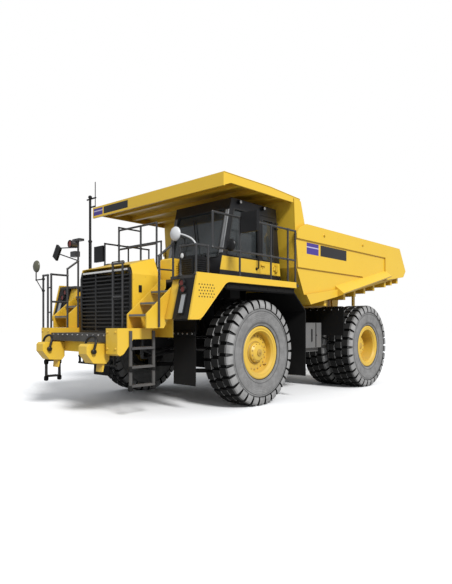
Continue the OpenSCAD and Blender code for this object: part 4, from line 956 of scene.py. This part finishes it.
white_shell = coat("white_shell", (0.62, 0.63, 0.64), (0.5, 0.5, 0.5), 0.22, dust=0.1, wear=0.1, height=6.0)
bm = bmesh.new()
dome(bm, white_mirror, 0.123)
tube(bm, [at(1.75, -1.99, 3.19), at(1.93, -1.965, 3.14), at(2.1, -1.945, 3.06), at(post_x, -1.93, 2.965)],
     0.014, 0.07)
fit("white_mirror_dome", bm, white_shell, sharp=60)
guard_lamp = at(1.88, -1.91, 2.79)
bm = bmesh.new()
tube(bm, [at(1.88, -1.93, 2.95), at(1.88, -1.95, 2.84)], 0.01)
turned(bm, guard_lamp, (0, -1, 0),
       [(0, 0), (0.03, 0.004), (0.052, 0.03), (0.058, 0.07), (0.05, 0.072), (0.048, 0.06)], 28)
fit("guard_lamp", bm, black_coat)
bm = bmesh.new()
turned(bm, guard_lamp, (0, -1, 0), [(0.05, 0.06), (0.035, 0.07), (0, 0.075)], 28)
fit("guard_lamp_lens", bm, bright_strip, sharp=60)
olive_shell = coat("olive_shell", (0.11, 0.11, 0.075), (0.07, 0.07, 0.05), 0.15, dust=0.1, wear=0.1, height=6.0)
bm = bmesh.new()
dome(bm, olive_mirror, 0.122)
fit("olive_mirror_dome", bm, olive_shell, sharp=60)
bm = bmesh.new()
for z in (2.55, 2.75):
    band(bm, at(-1.25, -1.25, z), (0, 0, 1), 0.2, 0.208, 0.03, 0.004, 48)
for spot in circle(at(-1.25, -1.25, 2.872), "z", 0.118, 16):
    slab(bm, spot - Vector((0.008, 0.008, 0.012)), spot + Vector((0.008, 0.008, 0.03)), 0.002)
for z in (2.32, 2.5, 3.35):
    band(bm, at(-0.95, -1.97, z - 0.02), (0, 0, 1), 0.033, 0.042, 0.04, 0.003, 24)
turned(bm, at(-0.95, -1.97, 4.25), (0, 0, 1), [(0.026, 0), (0.04, 0.01), (0.04, 0.04), (0.02, 0.06), (0, 0.06)])
fit("mast_and_cleaner_bands", bm, black_coat)

# Mud guards and tanks. Rubber flaps and black steel guards fore and aft of the wheels, held by bolted
# strips, and a ribbed sheet hung under the deck behind the engine; grey tanks strapped to the rails.
flap_rubber = coat("flap_rubber", (0.005, 0.005, 0.005), (0.011, 0.0105, 0.01), 0.6, dust=0.25, wear=0.0,
                   dust_colour=(0.06, 0.055, 0.05), height=2.0, shine=0.2)
paint(flap_rubber, "mudguards")
bm = bmesh.new()
slab(bm, at(-0.95, 0.84, 1.8), at(0.95, 0.858, 2.41), 0.004)
row(bm, 7, (0.27, 0, 0), at(-0.87, 0.825, 1.84), at(-0.83, 0.845, 2.36), 0.006)
bolts(bm, [at(-0.9 + k * 0.15, 0.84, 2.385) for k in range(13)], (0, -1, 0), 0.01)
fit("engine_bulkhead", bm, black_coat)
paint(grey_coat, "fuel_tank", "hydraulic_tank")
strap_top = 1.656
for side, hand in sides:
    bm = bmesh.new()
    bolts(bm, [at(side * (1.1 + k * 0.125), -1.47, 1.44) for k in range(5)], (0, -1, 0), 0.013)
    bolts(bm, [at(side * (0.8 + k * 0.2), 3.12, 1.97) for k in range(7)], (0, -1, 0), 0.012)
    fit("flap_bolts_" + hand, bm, bare_steel)
    low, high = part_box("hydraulic_tank" if side > 0 else "fuel_tank")
    bm = bmesh.new()
    face = side * max(abs(low[0]), abs(high[0]))
    strap_x = face + side * 0.006
    for t in (0.22, 0.78):
        y = low[1] + (high[1] - low[1]) * t - axle_y
        tube(bm, [at(side * 0.64, y, strap_top), at(strap_x, y, strap_top), at(strap_x, y, 1.06)], 0.012, 0.03)
        bolts(bm, [at(face + side * 0.018, y, 1.35)], (side, 0, 0), 0.014)
    mid_y = (low[1] + high[1]) / 2 - axle_y
    turned(bm, at(face - side * 0.2, mid_y, 1.648), (0, 0, 1),
           [(0.06, 0), (0.06, 0.05), (0.08, 0.052), (0.08, 0.085), (0.06, 0.1), (0, 0.1)], 28)
    slab(bm, at(face, mid_y + 0.12, 1.2), at(face + side * 0.02, mid_y + 0.16, 1.5), 0.006)
    fit("tank_fittings_" + hand, bm, black_coat)

# Tipping body. A yellow welded body with a canopy over the cab; its floor and inner walls are scoured
# to bare steel by the loads. Colour blocks are painted on the sides and on the canopy's lip.
body_home = cad["body_floor"].matrix_world.translation


def inside(tree, axis, low, high):
    """1 between two places along an axis of the standing truck, else 0."""
    shift = body_home["XYZ".index(axis)]
    value = place_axes(tree)[axis]
    return (value > low - shift) * (value < high - shift)


def rubbed_steel(tree):
    """Brown steel with bright streaks along the way that the load slides."""
    place = tree.nodes.new("ShaderNodeTexCoord")
    stretch = tree.nodes.new("ShaderNodeMapping")
    stretch.inputs["Scale"].default_value = (30.0, 0.9, 12.0)
    tree.links.new(place.outputs["Object"], stretch.inputs["Vector"])
    streak = tree.nodes.new("ShaderNodeTexNoise")
    streak.inputs["Scale"].default_value = 1.0
    streak.inputs["Detail"].default_value = 4.0
    tree.links.new(stretch.outputs[0], streak.inputs["Vector"])
    bright = ((Value(tree, streak.outputs[0]) - 0.4) * 3.0).clamped()
    brown = blended(tree, blotches(tree, 3.0), (0.13, 0.09, 0.06), (0.24, 0.2, 0.16))
    return blended(tree, bright, brown, (0.34, 0.32, 0.29))


def outward(tree):
    """1 on faces that look out to the truck's sides, -1 on faces that look in."""
    return place_axes(tree, "Normal")["X"] * step(tree, "SIGN", place_axes(tree)["X"])


def colour_blocks(main):
    """A violet block, split by a pale line, and a charcoal block on each side and on the canopy's lip.
    The walls' inner faces are rubbed bare in patches."""
    violet, pale, charcoal = (0.06, 0.04, 0.25), (0.5, 0.46, 0.6), (0.02, 0.02, 0.022)
    side_spans = ((axle_y + 1.5, axle_y + 1.99), (axle_y + 2.07, axle_y + 3.27))
    lip_spans = ((-2.066, -1.7), (-1.655, -0.74))
    half_line = 0.012

    def draw(tree):
        inner = (outward(tree) < -0.6) * inside(tree, "Z", 2.0, 4.0)
        patchy = ((blotches(tree, 1.3) - 0.36) * 5.0).clamped()
        base = blended(tree, inner * patchy, main, rubbed_steel(tree))
        on_sides = outward(tree) > 0.9
        ahead = place_axes(tree, "Normal")["Y"] * -1.0 > 0.9
        on_lip = ahead * inside(tree, "Y", axle_y - 2, axle_y - 1.15)
        for face, axis, spans, low, high in ((on_sides, "Y", side_spans, 3.16, 3.41),
                                             (on_lip, "X", lip_spans, 4.172, 4.335)):
            shown = face * inside(tree, "Z", low, high)
            middle = low + 0.62 * (high - low)
            line = inside(tree, "Z", middle - half_line, middle + half_line)
            for span, colour in zip(spans, (blended(tree, line, violet, pale), charcoal)):
                base = blended(tree, shown * inside(tree, axis, *span), base, colour)
        return base
    return draw


body_coat = coat("body_coat", colour_blocks(yellow), colour_blocks(yellow_faded), 0.26, dust=0.2,
                 ground=-body_home.z, wear=0.3, height=3.6, corner_shade=yellow_corner_shade)
paint(body_coat, "body_side_left", "body_side_right", "body_canopy")
beam_coat = coat("beam_coat", yellow, yellow_faded, 0.32, dust=0.4, ground=-body_home.z, wear=0.35, height=3.0,
                 corner_shade=yellow_corner_shade)
paint(beam_coat, "body_ribs", "body_beams")


def scoured(tree):
    """Yellow below, rubbed steel on faces that look up or back."""
    normal = place_axes(tree, "Normal")
    inner = step(tree, "MAXIMUM", normal["Z"], 0.0) + step(tree, "MAXIMUM", normal["Y"], 0.0)
    inner = ((inner - 0.2) * 6.0).clamped()
    worn = (inner * (blotches(tree, 1.7) + 0.55).clamped()).clamped()
    return blended(tree, worn, yellow, rubbed_steel(tree))


scoured_coat = coat("scoured_coat", scoured, scoured, 0.4, dust=0.3, ground=-body_home.z, wear=0.4, height=3.6)
paint(scoured_coat, "body_floor", "body_front")
for side, hand in sides:
    bm = bmesh.new()
    canopy_x, wall_x = side * 2.1005, side * 2.139
    tube(bm, [at(canopy_x, y, z) for y, z in ((-1.15, 4.374), (0.23, 4.374), (1.28, 4.32))], 0.008, steps=8)
    tube(bm, [at(wall_x, 1.1, 3.45), at(wall_x, 5.38, 3.45)], 0.008, steps=8)
    for y in (2.172, 4.047):
        turned(bm, at(side * 2.17, y, 3.645), (side, 0, 0), [(0.04, -0.004), (0.04, 0.006), (0.03, 0.012)])
    fit("body_weld_beads_" + hand, bm, body_coat, "dump_body", 60)

# Tail lamps. Red plastic blocks with two round lenses each, fixed to the rear ends of the frame.
# They stay on the frame when the body tips.
lens_red = coat("lens_red", (0.35, 0.01, 0.01), (0.3, 0.03, 0.02), 0.2, dust=0.4, wear=0.0)
for side, hand in sides:
    bm = bmesh.new()
    lamp_x = side * 0.55
    slab(bm, at(lamp_x - 0.06, 5.398, 1.58), at(lamp_x + 0.06, 5.43, 1.74), 0.01)
    for z in (1.62, 1.7):
        turned(bm, at(lamp_x, 5.425, z), (0, 1, 0), [(0.032, 0), (0.03, 0.014), (0.015, 0.02), (0, 0.021)])
    fit("tail_lamp_" + hand, bm, lens_red)

# Hoist. Two telescopic cylinders with black barrels and bright plated stages; each section ends in a
# gland ring, and steel oil pipes run up the barrels.
paint(black_coat, "hoist_barrels")
plated = coat("plated", (0.7, 0.71, 0.72), (0.55, 0.55, 0.55), 0.12, dust=0.15, wear=0.05, metal=1.0)
paint(plated, "hoist_stages", "hoist_rods")
lower_pin, upper_pin = Vector((0, 3.2927, 0.7255)), Vector((0, 2.95, 2.15))
along = (upper_pin - lower_pin).normalized()
ahead = along.cross(across)
for side, hand in sides:
    foot = at(side * 0.33, lower_pin.y, lower_pin.z)
    bm = bmesh.new()
    turned(bm, foot, along,
           [(0.1195, 1.15), (0.133, 1.155), (0.133, 1.222), (0.126, 1.228), (0.1035, 1.228)], 40)
    bolts(bm, hoop(foot + along * 1.226, across, ahead, 0.118, 10), along, 0.007)
    tube(bm, [foot + ahead * out + along * up
              for out, up in ((0.12, 0.16), (0.15, 0.2), (0.15, 1.0), (0.12, 1.05))], 0.012, 0.04)
    fit("barrel_gland_" + hand, bm, black_coat, "hoist_barrels")
    bm = bmesh.new()
    turned(bm, foot, along, [(0.0995, 1.25), (0.108, 1.254), (0.108, 1.284), (0.1, 1.29), (0.083, 1.29)], 40)
    fit("stage_gland_" + hand, bm, bare_steel, "hoist_stages")

# Floor, light and camera. A pale seamless floor and white surround with a broad soft sun from the
# truck's left; the camera stands level, 1.6 m up, ahead of the left front corner.
bpy.ops.mesh.primitive_plane_add(size=160, location=(0, 0, 0))
floor = bpy.context.object
floor.name = "floor"
floor_paint, tree, shader = new_finish("floor_paint")
rays = tree.nodes.new("ShaderNodeLightPath")
join(tree, blended(tree, rays.outputs["Is Camera Ray"], (0.42, 0.42, 0.42), (0.93, 0.93, 0.93)),
     shader["Base Color"])
shader["Roughness"].default_value = 0.9
shader["Specular IOR Level"].default_value = 0.0
floor.data.materials.append(floor_paint)
world = bpy.data.worlds.new("studio")
world.use_nodes = True
sky = world.node_tree
rays = sky.nodes.new("ShaderNodeLightPath")
lighting = blended(sky, rays.outputs["Is Glossy Ray"], (0.6, 0.62, 0.65), (0.36, 0.37, 0.39))
seen = step(sky, "MAXIMUM", rays.outputs["Is Camera Ray"], rays.outputs["Is Transmission Ray"])
join(sky, blended(sky, seen, lighting, (1.0, 1.0, 1.0)), sky.nodes["Background"].inputs["Color"])
bpy.context.scene.world = world
sun = bpy.data.lights.new("sun", "SUN")
sun.energy = 3.3
sun.angle = math.radians(14)
sun_from = Vector((0.72, -0.26, 0.64))
sun_lamp = bpy.data.objects.new("sun", sun)
sun_lamp.rotation_euler = sun_from.to_track_quat("Z", "Y").to_euler()
bpy.context.collection.objects.link(sun_lamp)
bpy.context.scene.view_settings.view_transform = "Standard"
photo_w, photo_h = 452, 584
focal_px = 498.5
horizon_px = (222.0, 324.3)
sight = bpy.data.cameras.new("camera")
sight.sensor_width = 36.0
sight.lens = focal_px / photo_h * sight.sensor_width
sight.shift_x = (photo_w / 2 - horizon_px[0]) / photo_h
sight.shift_y = (horizon_px[1] - photo_h / 2) / photo_h
sight.clip_end = 200
camera = bpy.data.objects.new("camera", sight)
camera.location = at(8.156, -7.799, 1.613)
camera.rotation_euler = (math.radians(90), 0, math.radians(42.56))
bpy.context.collection.objects.link(camera)
bpy.context.scene.camera = camera
